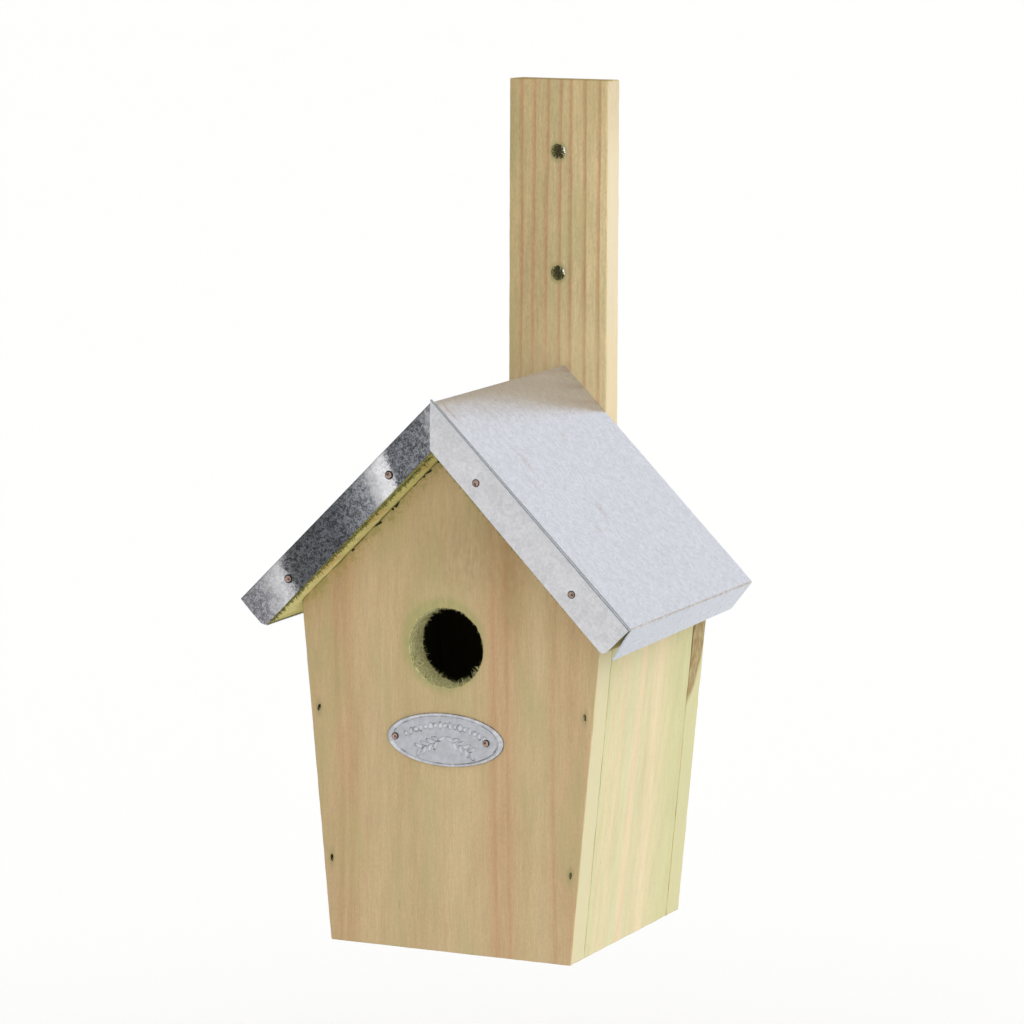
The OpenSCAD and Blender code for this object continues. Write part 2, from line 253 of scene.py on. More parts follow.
def pine(name, bands, across, along="Z", pith=(8, 70), ring=5, ring_strength=0.3, wander=3, green=0.35,
         spots=(), edge_tint=None, gable=None, painted_shade_inside=False, roughness=0.74, coarse=1.0,
         end_tint="#BDBF8C"):
    """Pressure-impregnated pine. The saw left it open-pored and matt, with fine fibres along the
    grain, soft pinkish bands of sapwood and a green cast where the salts dried.
    bands are (millimetres across the board, colour); spots are as in patches; edge_tint is the
    colour of the narrow edges; gable is how high the sloping edges would meet; painted_shade_inside
    boards turn one face to the nest and get painted shade on it; coarse is how strongly the fibres
    and the nap show; end_tint darkens the cut ends."""
    material, tree, shader = blank_material(name, Roughness=roughness, Specular_IOR_Level=0.3)
    place = object_millimetres(tree)
    x, y, z = (add_node(tree, "SeparateXYZ", [place], out=axis) for axis in "XYZ")
    face = add_node(tree, "TexCoord", out="Normal")
    if along == "Y":
        grain = add_node(tree, "CombineXYZ", [x, z, y])
        lengthwise = (0, 1, 0)
    else:
        grain = place
        lengthwise = (0, 0, 1)

    # The bands wander from side to side over the length of a board.
    drift = speckle(tree, grain, (38, 38, 170), 1)
    drift = add_node(tree, "MapRange", [drift, 0.2, 0.8, -wander, wander], **SMOOTH)
    shifted = add_node(tree, "Math", [{"X": x, "Y": y}[across], drift], **PLUS)
    colour = ramp_over(tree, shifted, bands)

    line = add_node(tree, "Math", [growth_rings(tree, grain, pith, ring), ring_strength], **TIMES)
    colour = add_node(tree, "Mix", {0: line, 6: colour, 7: (*colours().latewood, 1)}, **RGBA)

    # Fibres about 0.5 mm wide, drawn a little coarser than real ones so that they show, the nap
    # of short loose ones that a blunt blade raised, and long streaks.
    fibre = speckle(tree, grain, (0.75, 0.75, 11), 5, 0.62)
    nap = speckle(tree, grain, (0.6, 0.6, 1.5), 3, 0.6)
    streak = speckle(tree, grain, (3.4, 3.4, 60), 3, 0.5)
    for pattern, dark, light in ((fibre, 0.07, 0.05), (nap, 0.06, 0.05), (streak, 0.045, 0.035)):
        colour = shaded(tree, colour, pattern, 0.28, 0.72, 1 - dark * coarse, 1 + light * coarse)

    # Short dark resin ducts
    duct = add_node(tree, "MapRange", [speckle(tree, grain, (0.45, 0.45, 5), 1), 0.7, 0.78], **SMOOTH)
    duct = add_node(tree, "Math", [duct, 0.28], **TIMES)
    colour = add_node(tree, "Mix", {0: duct, 6: colour, 7: "#7D6440"}, **RGBA)

    # The green cast lies in clouds that follow the grain.
    cloud = add_node(tree, "MapRange", [speckle(tree, grain, (12, 12, 42), 3), 0.46, 0.72], **SMOOTH)
    cloud = add_node(tree, "Math", [cloud, green], **TIMES)
    colour = add_node(tree, "Mix", {0: cloud, 6: colour, 7: (*colours().green_salt, 1)}, **RGBA)

    if edge_tint:
        sideways = add_node(tree, "SeparateXYZ", [face], out="X")
        sideways = add_node(tree, "Math", [sideways], operation="ABSOLUTE")
        sideways = add_node(tree, "MapRange", [sideways, 0.85, 0.95], **SMOOTH)
        tinted = add_node(tree, "Mix", {0: 0.22, 6: edge_tint, 7: colour}, **RGBA)
        colour = add_node(tree, "Mix", {0: sideways, 6: colour, 7: tinted}, **RGBA)
    ragged = speckle(tree, grain, (1.6, 1.6, 4), 3)
    ragged = add_node(tree, "MapRange", [ragged, 0.3, 0.7, 0.55, 1], **SMOOTH)
    colour = patches(tree, colour, place, ragged, spots)

    # Painted shade: the faces inside the box are darkened for the dark inside of the nest.
    if painted_shade_inside:
        level = add_node(tree, "VectorMath", [face, place], out="Value", operation="DOT_PRODUCT")
        inside = add_node(tree, "MapRange", [level, -4, -12], **SMOOTH)
        salts_and_painted_shade = add_node(tree, "Mix", {0: 1.0, 6: colour, 7: "#6A6654"}, blend_type="MULTIPLY", **RGBA)
        colour = add_node(tree, "Mix", {0: inside, 6: colour, 7: salts_and_painted_shade}, **RGBA)

    # Salts soaked in along the sloping edges under the roof.
    if gable:
        away = add_node(tree, "Math", [x], operation="ABSOLUTE")
        level = add_node(tree, "Math", [away, z], **PLUS)
        torn = speckle(tree, place, (2.2, 2.2, 2.2), 4, 0.7)
        torn = add_node(tree, "MapRange", [torn, 0.3, 0.7, -5, 5], **SMOOTH)
        level = add_node(tree, "Math", [level, torn], **PLUS)
        salts_and_painted_shade = add_node(tree, "MapRange", [level, gable - 5.5, gable - 0.5], **SMOOTH)
        salts_and_painted_shade = add_node(tree, "Math", [salts_and_painted_shade, 0.55], **TIMES)
        colour = add_node(tree, "Mix", {0: salts_and_painted_shade, 6: colour, 7: "#9A9350"}, **RGBA)

    # Cut ends drink more of the salts and show darker and greener.
    facing = add_node(tree, "VectorMath", [face, lengthwise], out="Value", operation="DOT_PRODUCT")
    facing = add_node(tree, "Math", [facing], operation="ABSOLUTE")
    end = add_node(tree, "MapRange", [facing, 0.55, 0.85], **SMOOTH)
    tint = add_node(tree, "Math", [end, 0.75], **TIMES)
    colour = add_node(tree, "Mix", {0: tint, 6: colour, 7: end_tint}, blend_type="MULTIPLY", **RGBA)
    rough_end = speckle(tree, place, (0.5, 0.5, 0.5), 3, 0.7)
    low_fibre = add_node(tree, "Math", [fibre, 0.5], **TIMES)
    height = add_node(tree, "Mix", {0: end, 2: low_fibre, 3: rough_end}, data_type="FLOAT")
    dress(tree, shader, colour, height, 0.35, 0.25)
    return material


def torn_pine(name, dark, light):
    """Fibres that a blunt hole saw tore: fuzzy, matt, and green because the loose ends soak up salts."""
    material, tree, shader = blank_material(name, Roughness=0.9, Specular_IOR_Level=0.2)
    place = object_millimetres(tree)
    fuzz = speckle(tree, place, (0.5, 0.5, 3), 4, 0.6)
    colour = add_node(tree, "ValToRGB", [fuzz], stops=[(0.36, dark), (0.64, light)])
    pit = add_node(tree, "MapRange", [speckle(tree, place, (0.9, 0.9, 1.1), 3, 0.6), 0.6, 0.68], **SMOOTH)
    pit = add_node(tree, "Math", [pit, 0.7], **TIMES)
    colour = add_node(tree, "Mix", {0: pit, 6: colour, 7: "#4B4728"}, **RGBA)
    dress(tree, shader, colour, fuzz, 0.5, 0.3)
    return material


def galvanised(name, dull, bright, spangle, contrast, roughness, painted_sheen=None, marks=0.25, stains=(),
               metallic=1.0):
    """Hot-dip galvanised steel sheet: a soft grey metal with a spangle of zinc crystals that each
    reflect a little differently. spangle is a crystal's size in millimetres. painted_sheen is
    (direction, stops): a painted reflection, bright patches and dark stretches that the tone follows
    by millimetres along the direction. metallic is a little under 1 where the white film of weathered
    zinc veils the metal."""
    material, tree, shader = blank_material(name, Metallic=metallic)
    place = object_millimetres(tree)
    crystal = add_node(
        tree, "TexVoronoi", {"Vector": place, "Scale": 1 / spangle, "Randomness": 1.0}, out="Color")
    crystal = add_node(tree, "SeparateColor", [crystal])
    frost = speckle(tree, place, (spangle * 0.45,) * 3, 5, 0.65)
    frost = add_node(tree, "MapRange", [frost, 0.28, 0.72], **SMOOTH)
    value = add_node(tree, "Mix", {0: 0.62, 2: crystal, 3: frost}, data_type="FLOAT")
    spread = 0.5 / contrast
    value = add_node(tree, "MapRange", [value, 0.5 - spread, 0.5 + spread], **SMOOTH)
    colour = add_node(tree, "Mix", {0: value, 6: dull, 7: bright}, **RGBA)
    # painted_sheen paints a reflection into the tone: bright patches and dark stretches set by place on the
    # sheet.
    if painted_sheen:
        direction, stops = painted_sheen
        at = add_node(tree, "VectorMath", [place, direction], out="Value", operation="DOT_PRODUCT")
        fine = add_node(tree, "MapRange", [frost, 0, 1, -0.5, 0.5], **SMOOTH)
        broad = speckle(tree, place, (5, 5, 5), 2)
        broad = add_node(tree, "MapRange", [broad, 0.25, 0.75, -1.3, 1.3], **SMOOTH)
        for jitter in (fine, broad):
            at = add_node(tree, "Math", [at, jitter], **PLUS)
        tone = ramp_over(tree, at, stops)
        # In the painted reflection, bright places hide the spangle and dark ones show it.
        light = add_node(tree, "SeparateColor", [tone])
        depth = add_node(tree, "MapRange", [light, 0.1, 0.55, 1, 0.25], **SMOOTH)
        spangled = add_node(tree, "Math", [value, 0.5], operation="SUBTRACT")
        spangled = add_node(tree, "Math", [spangled, depth], **TIMES)
        gain = add_node(tree, "Math", [spangled, 1.3, 1.1], operation="MULTIPLY_ADD")
        colour = add_node(tree, "VectorMath", {0: tone, 3: gain}, operation="SCALE")
    # Old water marks, pale brown and few
    mark = add_node(tree, "MapRange", [speckle(tree, place, (7, 7, 12), 3, 0.6), 0.62, 0.8], **SMOOTH)
    mark = add_node(tree, "Math", [mark, marks], **TIMES)
    colour = add_node(tree, "Mix", {0: mark, 6: colour, 7: "#B9AE9C"}, **RGBA)
    ragged = speckle(tree, place, (1.5, 1.5, 1.5), 3)
    ragged = add_node(tree, "MapRange", [ragged, 0.35, 0.65, 0.1, 1], **SMOOTH)
    colour = patches(tree, colour, place, ragged, stains)
    gloss = add_node(tree, "MapRange", [value, 0, 1, roughness + 0.05, roughness - 0.05], **SMOOTH)
    dress(tree, shader, colour, frost, 0.12, 0.15, gloss)
    return material


def plated(name, tone, roughness, grain=0.6):
    """Plated steel: small and dull, with tiny pits where the plating is thin."""
    material, tree, shader = blank_material(name, Metallic=1.0)
    place = object_millimetres(tree)
    pits = speckle(tree, place, (grain,) * 3, 4, 0.6)
    thick = add_node(tree, "MapRange", [pits, 0.3, 0.62], **SMOOTH)
    dark = tuple(c * 0.55 for c in tone)
    colour = add_node(tree, "Mix", {0: thick, 6: (*dark, 1), 7: (*tone, 1)}, **RGBA)
    gloss = add_node(tree, "MapRange", [pits, 0.3, 0.7, roughness + 0.12, roughness], **SMOOTH)
    dress(tree, shader, colour, pits, 0.2, 0.08, gloss)
    return material


def stamped_zinc(name):
    """Soft zinc plate, stamped and left dull: pale on the raised lines, grey with oxide in the hollows."""
    material, tree, shader = blank_material(name, Metallic=0.85, Roughness=0.42)
    place = object_millimetres(tree)
    y = add_node(tree, "SeparateXYZ", [place], out="Y")
    top = PLAQUE_LOW.y / MM
    raised = add_node(tree, "MapRange", [y, top + sizes().relief / MM, top])
    # The oxide was rubbed off here and there, so the hollows are dark in some places only.
    rubbed = speckle(tree, place, (3.2, 3.2, 3.2), 3, 0.6)
    rubbed = add_node(tree, "MapRange", [rubbed, 0.35, 0.65, -0.05, 0.3], **SMOOTH)
    raised = add_node(tree, "Math", [raised, rubbed], **PLUS)
    colour = add_node(tree, "ValToRGB", [raised], stops=[
        (0.0, "#5C5E63"), (0.22, "#9B9DA2"), (0.36, "#BEBFC4"), (0.8, "#C4C5CB"), (1.0, "#D8D9DE")])
    cloud = speckle(tree, place, (2.2, 2.2, 2.2), 5, 0.7)
    colour = shaded(tree, colour, cloud, 0.3, 0.7, 0.86, 1.04)
    dress(tree, shader, colour, cloud, 0.25, 0.1)
    return material


# ---------------------------------------------------------------- mesh helpers

def new_piece(name, shape, materials, body, replaced=(), smooth=False):
    """Makes the object of a bmesh, which it frees, and ties it to its body, slot and CAD nodes."""
    mesh = bpy.data.meshes.new(name)
    shape.to_mesh(mesh)
    shape.free()
    mesh.polygons.foreach_set("use_smooth", [smooth] * len(mesh.polygons))
    for material in materials:
        mesh.materials.append(material)
    piece = bpy.data.objects.new(name, mesh)
    bpy.context.scene.collection.objects.link(piece)
    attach(piece, body)
    if replaced:
        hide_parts(*replaced)
    return piece


def settle(piece):
    """Applies the piece's modifiers to its mesh."""
    bpy.context.view_layer.update()
    solid = bpy.data.meshes.new_from_object(piece.evaluated_get(bpy.context.evaluated_depsgraph_get()))
    piece.modifiers.clear()
    piece.data = solid


def cut_away(piece, cutters, crossing=False):
    """Subtracts the cutters, a bmesh that is freed, from the piece. crossing cutters may overlap."""
    mesh = bpy.data.meshes.new("cutters")
    bmesh.ops.recalc_face_normals(cutters, faces=cutters.faces)
    cutters.to_mesh(mesh)
    cutters.free()
    tool = bpy.data.objects.new("cutters", mesh)
    bpy.context.scene.collection.objects.link(tool)
    cut = piece.modifiers.new("cut", "BOOLEAN")
    cut.operation = "DIFFERENCE"
    cut.solver = "EXACT"
    cut.use_self = crossing
    cut.object = tool
    settle(piece)
    bpy.data.objects.remove(tool)


def paint_faces(piece, slot_index, test):
    """Gives a material to the faces whose centre and normal pass the test."""
    for face in piece.data.polygons:
        if test(face.center, face.normal):
            face.material_index = slot_index


def islands(node):
    """The box of each separate solid in a CAD node, as (lowest corner, highest corner, middle)."""
    shape = bmesh.new()
    shape.from_mesh(frame["nodes"][node].data)
    bmesh.ops.remove_doubles(shape, verts=shape.verts, dist=0.001 * MM)
    left = set(shape.verts)
    boxes = []
    while left:
        group, front = set(), [left.pop()]
        while front:
            vert = front.pop()
            group.add(vert)
            for edge in vert.link_edges:
                other = edge.other_vert(vert)
                if other in left:
                    left.discard(other)
                    front.append(other)
        low = Vector([min(v.co[i] for v in group) for i in range(3)])
        high = Vector([max(v.co[i] for v in group) for i in range(3)])
        boxes.append((low, high, (low + high) / 2))
    shape.free()
    return sorted(boxes, key=lambda pair: tuple(round(c, 4) for c in pair[0]))


def outline_of(node):
    """Corners of a board's outline seen along Y, as (x, z), going round."""
    points = sorted({(round(v.co.x, 6), round(v.co.z, 6)) for v in frame["nodes"][node].data.vertices})
    hull = [Vector(points[i]) for i in convex_hull_2d(points)]
    corners = []
    for before, here, after in zip(hull[-1:] + hull[:-1], hull, hull[1:] + hull[:1]):
        bend = (here - before).normalized().cross((after - here).normalized())
        if abs(bend) > 0.01:
            corners.append(here)
    return corners


def prism(outline, y0, y1):
    """A board with the given outline, from y0 back to y1."""
    shape = bmesh.new()
    rings = [[shape.verts.new((p.x, y, p.y)) for p in outline] for y in (y0, y1)]
    skin(shape, rings)
    for ring in rings:
        shape.faces.new(ring)
    bmesh.ops.recalc_face_normals(shape, faces=shape.faces)
    return shape


def put_in_order(shape):
    """Sorts vertices, edges and faces by their place, since a bevel numbers them anew in each run."""
    order = Vector((1, 17.3, 311.9))
    shape.verts.sort(key=lambda vert: vert.co.dot(order))
    shape.edges.sort(key=lambda edge: (edge.verts[0].co + edge.verts[1].co).dot(order))
    shape.faces.sort(key=lambda face: face.calc_center_median().dot(order))


def wear(shape, width, wander, seed, rough_end=None):
    """Rounds the arrises of a board by hand: width across, wandering in and out by wander.
    rough_end(point) says how many times rougher the saw left the edge there."""
    noise.seed_set(seed)  # without it noise_vector takes its offsets from the clock
    low = [min(v.co[i] for v in shape.verts) for i in range(3)]
    high = [max(v.co[i] for v in shape.verts) for i in range(3)]
    step = 4 * MM
    sharp = [e for e in shape.edges if e.calc_face_angle(0) > 0.3]
    for edge in sharp:
        bmesh.ops.subdivide_edges(shape, edges=[edge], cuts=max(1, int(edge.calc_length() / step)))
    sharp = [e for e in shape.edges if e.calc_face_angle(0) > 0.3]
    bmesh.ops.bevel(
        shape, geom=sharp, offset=width, segments=3, profile=0.5, affect="EDGES", clamp_overlap=True)
    put_in_order(shape)
    broad = {face: face.normal.copy() for face in shape.faces if face.calc_area() > 40 * MM * MM}
    for vert in shape.verts:
        shift = noise.noise_vector(vert.co * 160 + Vector((seed, 0, 0))) * wander
        shift += noise.noise_vector(vert.co * 700 + Vector((0, seed, 0))) * wander * 0.6
        if rough_end:
            shift *= rough_end(vert.co)
        for normal in sorted((broad[face] for face in vert.link_faces if face in broad), key=tuple):
            shift -= normal * shift.dot(normal)
        vert.co = [min(max(c, a), b) for c, a, b in zip(vert.co + shift, low, high)]


def board(name, node, materials, body, seed, y0=None, y1=None, wander=0.16, rough_end=None):
    """A worn board in the place of a CAD node."""
    low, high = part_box(node)
    shape = prism(outline_of(node), low.y if y0 is None else y0, high.y if y1 is None else y1)
    wear(shape, sizes().arris, wander * MM, seed, rough_end)
    return new_piece(name, shape, materials, body, [node])


def skin(shape, rings):
    """Joins rings of vertices with faces. A ring may be a single point."""
    for one, two in zip(rings, rings[1:]):
        count = max(len(one), len(two))
        for i in range(count):
            j = (i + 1) % count
            around = (one[i % len(one)], one[j % len(one)], two[j % len(two)], two[i % len(two)])
            shape.faces.new(tuple(dict.fromkeys(around)))


def block(shape, place, size):
    """Adds a box of that size, with its middle and its turn as place says, and gives its vertices."""
    return bmesh.ops.create_cube(shape, size=1, matrix=place @ Matrix.Diagonal((*size, 1)))["verts"]


def rod(shape, start, end, radius, end_radius=None, segments=32):
    """Adds a rod or cone from start to end."""
    axis = end - start
    turn = axis.to_track_quat("Z", "Y").to_matrix().to_4x4()
    bmesh.ops.create_cone(
        shape, cap_ends=True, segments=segments, radius1=radius,
        radius2=radius if end_radius is None else end_radius, depth=axis.length,
        matrix=Matrix.Translation((start + end) / 2) @ turn)


def rough_bore(shape, centre, radius, y0, y1, rough, lip, seed, segments=110):
    """Adds a cutter for a hole that a blunt saw made: uneven walls and a broken lip at each face."""
    depths = [-2, -0.02, 0.25, 0.7, 1.4, 2.6, 4.4, 6.4, 8.4, 10, 11.2, 12.2, 12.7, 13.02, 15]
    span = (y1 - y0) / (13 * MM)
    rings = []
    for depth in depths:
        y = y0 + depth * MM * span
        near = min(abs(y - y0), abs(y1 - y))
        outside = y < y0 or y > y1
        ring = []
        for i in range(segments):
            angle = 2 * math.pi * i / segments
            way = Vector((math.cos(angle), 0, math.sin(angle)))
            torn = 0.5 + 0.5 * noise.noise(way * 4 + Vector((seed, 0, 0)))
            widen = lip * (0.35 + torn) * math.exp(-(0 if outside else near) / (0.55 * MM))
            burr = noise.noise(Vector((way.x * 16, y * 420, way.z * 16 + seed))) * rough * (0.25 + abs(way.z))
            burr += max(0, noise.noise(Vector((way.x * 30, y * 900, way.z * 30 + seed))) - 0.15) * rough * 0.9
            inward = Vector((0, y - centre.y, 0))
            ring.append(shape.verts.new(centre + way * (radius + widen + burr) + inward))
        rings.append(ring)
    skin(shape, rings)
    shape.faces.new(rings[0])
    shape.faces.new(rings[-1][::-1])


def slit(shape, centre, outward, width, height, depth, tilt):
    """Adds a cutter for the slit that a brad leaves: wider in the middle, narrower as it goes in."""
    corners = [(-0.5, 0.25), (-0.5, -0.25), (-0.1, -0.5), (0.4, -0.35), (0.5, 0.2), (0.15, 0.5)]
    rings = []
    for reach, spread in ((1 * MM, 1.15), (-depth * 0.5, 0.9), (-depth, 0.55)):
        ring = []
        for cx, cz in corners:
            x = cx * width * spread
            z = cz * height * spread
            across = x * math.cos(tilt) - z * math.sin(tilt)
            up = x * math.sin(tilt) + z * math.cos(tilt)
            ring.append(shape.verts.new(centre + Vector((across, 0, up)) + outward * reach))
        rings.append(ring)
    skin(shape, rings)
    shape.faces.new(rings[0])
    shape.faces.new(rings[-1])


def strand(shape, base, heading, length, width, curl):
    """Adds one torn fibre: three-sided, tapered and curved."""
    side = heading.orthogonal().normalized()
    other = heading.cross(side).normalized()
    rings = []
    for step in range(4):
        t = step / 3
        middle = base + heading * (length * t) + curl * (length * t * t)
        thick = width * (1 - 0.82 * t) / 2
        rings.append([
            shape.verts.new(middle + (side * math.cos(a) + other * math.sin(a)) * thick)
            for a in (0, 2 * math.pi / 3, 4 * math.pi / 3)])
    skin(shape, rings)
    shape.faces.new(rings[0][::-1])
    shape.faces.new(rings[-1])


def lathe(shape, profile, place, segments=28, dent=None):
    """Adds a turned shape. profile is (radius, height) from the bottom up; place puts +Z outward."""
    rings = []
    for radius, height in profile:
        if radius == 0:
            rings.append([shape.verts.new(place @ Vector((0, 0, height)))])
            continue
        ring = []
        for i in range(segments):
            angle = 2 * math.pi * i / segments
            point = Vector((radius * math.cos(angle), radius * math.sin(angle), height))
            if dent:
                point.z -= dent(point)
            ring.append(shape.verts.new(place @ point))
        rings.append(ring)
    skin(shape, rings)


def fillet(points, radii, steps=7):
    """A line of 2D points with each inner corner rounded to its radius."""
    line = [points[0]]
    for before, here, after, radius in zip(points, points[1:], points[2:], radii):
        a = (before - here).normalized()
        b = (after - here).normalized()
        half = a.angle(b) / 2
        centre = here + (a + b).normalized() * (radius / math.sin(half))
        first = here + a * (radius / math.tan(half)) - centre
        last = here + b * (radius / math.tan(half)) - centre
        turn = math.atan2(first.cross(last), first.dot(last))
        for step in range(steps + 1):
            line.append(centre + Matrix.Rotation(turn * step / steps, 2) @ first)
    line.append(points[-1])
    return line


def resample(line, spacing):
    """Splits long stretches of a line of points so that none is longer than spacing."""
    dense = [line[0]]
    for one, two in zip(line, line[1:]):
        pieces = max(1, math.ceil((two - one).length / spacing))
        dense.extend(one.lerp(two, i / pieces) for i in range(1, pieces + 1))
    return dense


def sheet_from_rows(rows):
    """A surface through rows of points."""
    shape = bmesh.new()
    verts = [[shape.verts.new(p) for p in row] for row in rows]
    for one, two in zip(verts, verts[1:]):
        for i in range(len(one) - 1):
            shape.faces.new((one[i], one[i + 1], two[i + 1], two[i]))
    return shape


def thicken(piece, thickness):
    """Gives a surface its thickness on the side away from its normals."""
    solid = piece.modifiers.new("thickness", "SOLIDIFY")
    solid.thickness = thickness
    solid.offset = -1
    solid.use_even_offset = True
    settle(piece)
    piece.data.set_sharp_from_angle(angle=math.radians(32))


def slope_point(side, u, w):
    """The (x, z) of a place on a slope: u down from the ridge, w out from the roof board's top."""
    return Vector((side * (u + w) / DIAG, RIDGE_Z - (u - w) / DIAG))


def slope_place(side, x, z):
    """The (u, w) of a place given as x and z."""
    return ((side * x + RIDGE_Z - z) / DIAG, (side * x - RIDGE_Z + z) / DIAG)


# ---------------------------------------------------------------- timber

# Colours across each board, in millimetres in the frame's own axes.
FRONT_BANDS = [
    (-66, "#BDA37B"), (-51, "#BFA47C"), (-47.6, "#BC9B74"), (-45.8, "#BFA47D"), (-44.2, "#BC9C74"),
    (-40, "#C2A87F"), (-33, "#C4AC84"), (-24, "#C2AA81"), (-19, "#BFA77D"), (-12, "#C4AC83"),
    (-3, "#C6AE85"), (8, "#C6AF86"), (17, "#C5AB82"), (19.6, "#C2A37B"), (21, "#BE9973"),
    (22.4, "#C3A57E"), (25, "#C2A57D"), (26.3, "#C09C76"), (27.6, "#C3A77F"), (33, "#C2AA80"),
    (41, "#C7B088"), (46, "#C4AA82"), (47.4, "#C1A079"), (49, "#C4AA82"), (54, "#C3A67E"), (66, "#C6AD84"),
]
SIDE_BANDS = [
    (-52, "#D6CDA2"), (-39, "#CFC79A"), (-34, "#D0CCA0"), (-29, "#DACBA2"), (-25, "#D3CBA2"),
    (-21, "#DCCBA4"), (-17, "#D3CBA0"), (-9, "#D5CEA5"), (-3, "#E0CBA6"), (1, "#D4CBA2"), (8, "#D5CAA0"),
    (15, "#E0CFAA"), (20, "#D6CBA1"), (27, "#D0C99C"), (35, "#CDC999"), (44, "#CBC697"), (58, "#CFC79A"),
]
BATTEN_LINES = (-18.6, -13.1, -7.2, -1.4, 3.2, 9.6, 15.9)
BATTEN_TONES = ("#BCA578", "#BEA87B", "#C0AA7D", "#C2AD81", "#C5B084", "#CAB487", "#D0BB8D", "#D5C092")
LATEWOOD_LINE = "#B88F66"


def batten_bands():
    """Pale earlywood that deepens to a thin dark line and then starts again."""
    bands = [(-27, BATTEN_TONES[0])]
    for at, before, after in zip(BATTEN_LINES, BATTEN_TONES, BATTEN_TONES[1:]):
        bands += [(at - 1.9, before), (at - 0.25, LATEWOOD_LINE), (at + 0.55, after)]
    return [*bands, (22, BATTEN_TONES[-1])]


ROOF_BANDS = [
    (-90, "#D9D08A"), (-60, "#DDD592"), (-20, "#D2CB84"), (20, "#D6CD86"), (60, "#DACF8E"), (90, "#D2C886"),
]
BACK_BANDS = [
    (-70, "#BFAE80"), (-40, "#C2AA7E"), (-10, "#C8B287"), (20, "#BFA67A"), (45, "#C6B083"), (70, "#C4BB86"),
]
FLOOR_BANDS = [
    (-42, "#C3AC80"), (-20, "#C8B388"), (0, "#BFA67C"), (18, "#C9B48A"), (42, "#C1AD80"),
]


# Chips out of the front board's upper left edge: how far down it and how long, in millimetres
TOP_EDGE_CHIPS = (
    (4, 2.6), (7.4, 1.2), (13.5, 3.0), (16.5, 1.0), (22, 2.0), (33.5, 3.2), (36.2, 1.0), (45, 3.4), (61, 1.6),
)


class NESTBOX_OT_front_board(bpy.types.Operator):
    """Makes the front board with its torn entrance hole and the slits of its brads"""
    bl_idname = "nestbox.front_board"
    bl_label = "Front board"

    def execute(self, context):
        brads = [middle for _, _, middle in islands("front_brads")]
        hole = tuple(v / MM for v in ENTRANCE)
        left_of_hole = (hole[0] - 0.9, hole[1], hole[2] + 1.2)
        # The first spot is painted shade under the roof at the apex. The second is the green halo left of the
        # hole.
        spots = [((8, FRONT_LOW.y / MM, 162), (34, 400, 30), 0.1, "#927B54", 0.45),
                 (left_of_hole, (20.5, 400, 21.5), 0.78, "#999B60", 0.7)]
        for brad in brads:
            spots.append(((brad.x / MM, FRONT_LOW.y / MM, brad.z / MM), (2.2, 400, 6), 0.1, "#7F8250", 0.55))
        # A reddish-brown stain under the right gable, partly painted shadow of the roof's overhang.
        spots.append(((26, FRONT_LOW.y / MM, 152), (10, 400, 42), 0.1, "#A4764F", 0.4))
        spots.append(((2, FRONT_LOW.y / MM, 103), (24, 400, 14), 0.1, "#A39C66", 0.35))
        wood = pine("impregnated_pine_front", FRONT_BANDS, "X", pith=(26, 62), ring=7.5, ring_strength=0.13,
                    green=0.3, spots=spots, edge_tint="#D8D3AC", gable=FRONT_HIGH.z / MM, painted_shade_inside=True)
        torn = torn_pine("torn_pine_entrance", "#9A965E", "#E6E0AE")

        def rough_end(point):
            return 2.4 if point.z > FRONT_HIGH.z * 0.68 else 1.0

        # Painted shade: the chips in the top edge get a very dark torn pine, for the shade in the gap under
        # the roof.
        chip_shade = torn_pine("torn_pine_chips_painted_shade", "#4A4524", "#8C864E")
        piece = board(
            "front_board_worn", "front_board", [wood, torn, chip_shade], "box", 3,
            rough_end=rough_end)
        cutters = bmesh.new()
        face = Vector((ENTRANCE.x, FRONT_LOW.y, ENTRANCE.z))
        rough_bore(cutters, face, entrance_radius(), FRONT_LOW.y, FRONT_HIGH.y, 0.45 * MM, 0.35 * MM, 5)
        for brad, tilt in zip(brads, (-14, 6, -6, 12)):
            place = Vector((brad.x, FRONT_LOW.y, brad.z))
            slit(cutters, place, Vector((0, -1, 0)), 1.3 * MM, 3.2 * MM, 1.5 * MM, math.radians(tilt))
        peak = Vector((0, FRONT_LOW.y, FRONT_HIGH.z))
        for down, length in TOP_EDGE_CHIPS:
            middle = peak + Vector((-down, 0, -down)) * MM / DIAG
            size = Vector((length, 5, 0.9 + 1.5 * abs(math.sin(down)))) * MM
            turn = Matrix.Rotation(math.radians(-45 + 16 * math.sin(down * 2)), 4, "Y")
            block(cutters, Matrix.Translation(middle) @ turn, size)
        cut_away(piece, cutters)
        reach = entrance_radius() + 1.2 * MM
        paint_faces(piece, 1, lambda c, n: (c.xz - ENTRANCE.xz).length < reach and abs(n.y) < 0.95)

        def in_chip(c, n):
            near_edge = FRONT_HIGH.z - 2.2 * MM < abs(c.x) + c.z < FRONT_HIGH.z - 0.15 * MM
            return near_edge and c.x < 0 and FRONT_LOW.y + 0.12 * MM < c.y < FRONT_LOW.y + 4 * MM

        # The faces of the chips take the painted shade.
        paint_faces(piece, 2, in_chip)
        return {"FINISHED"}


def entrance_radius():
    """The radius of the hole in the CAD front board."""
    middle = ENTRANCE.xz
    return min((v.co.xz - middle).length for v in frame["nodes"]["front_board"].data.vertices)


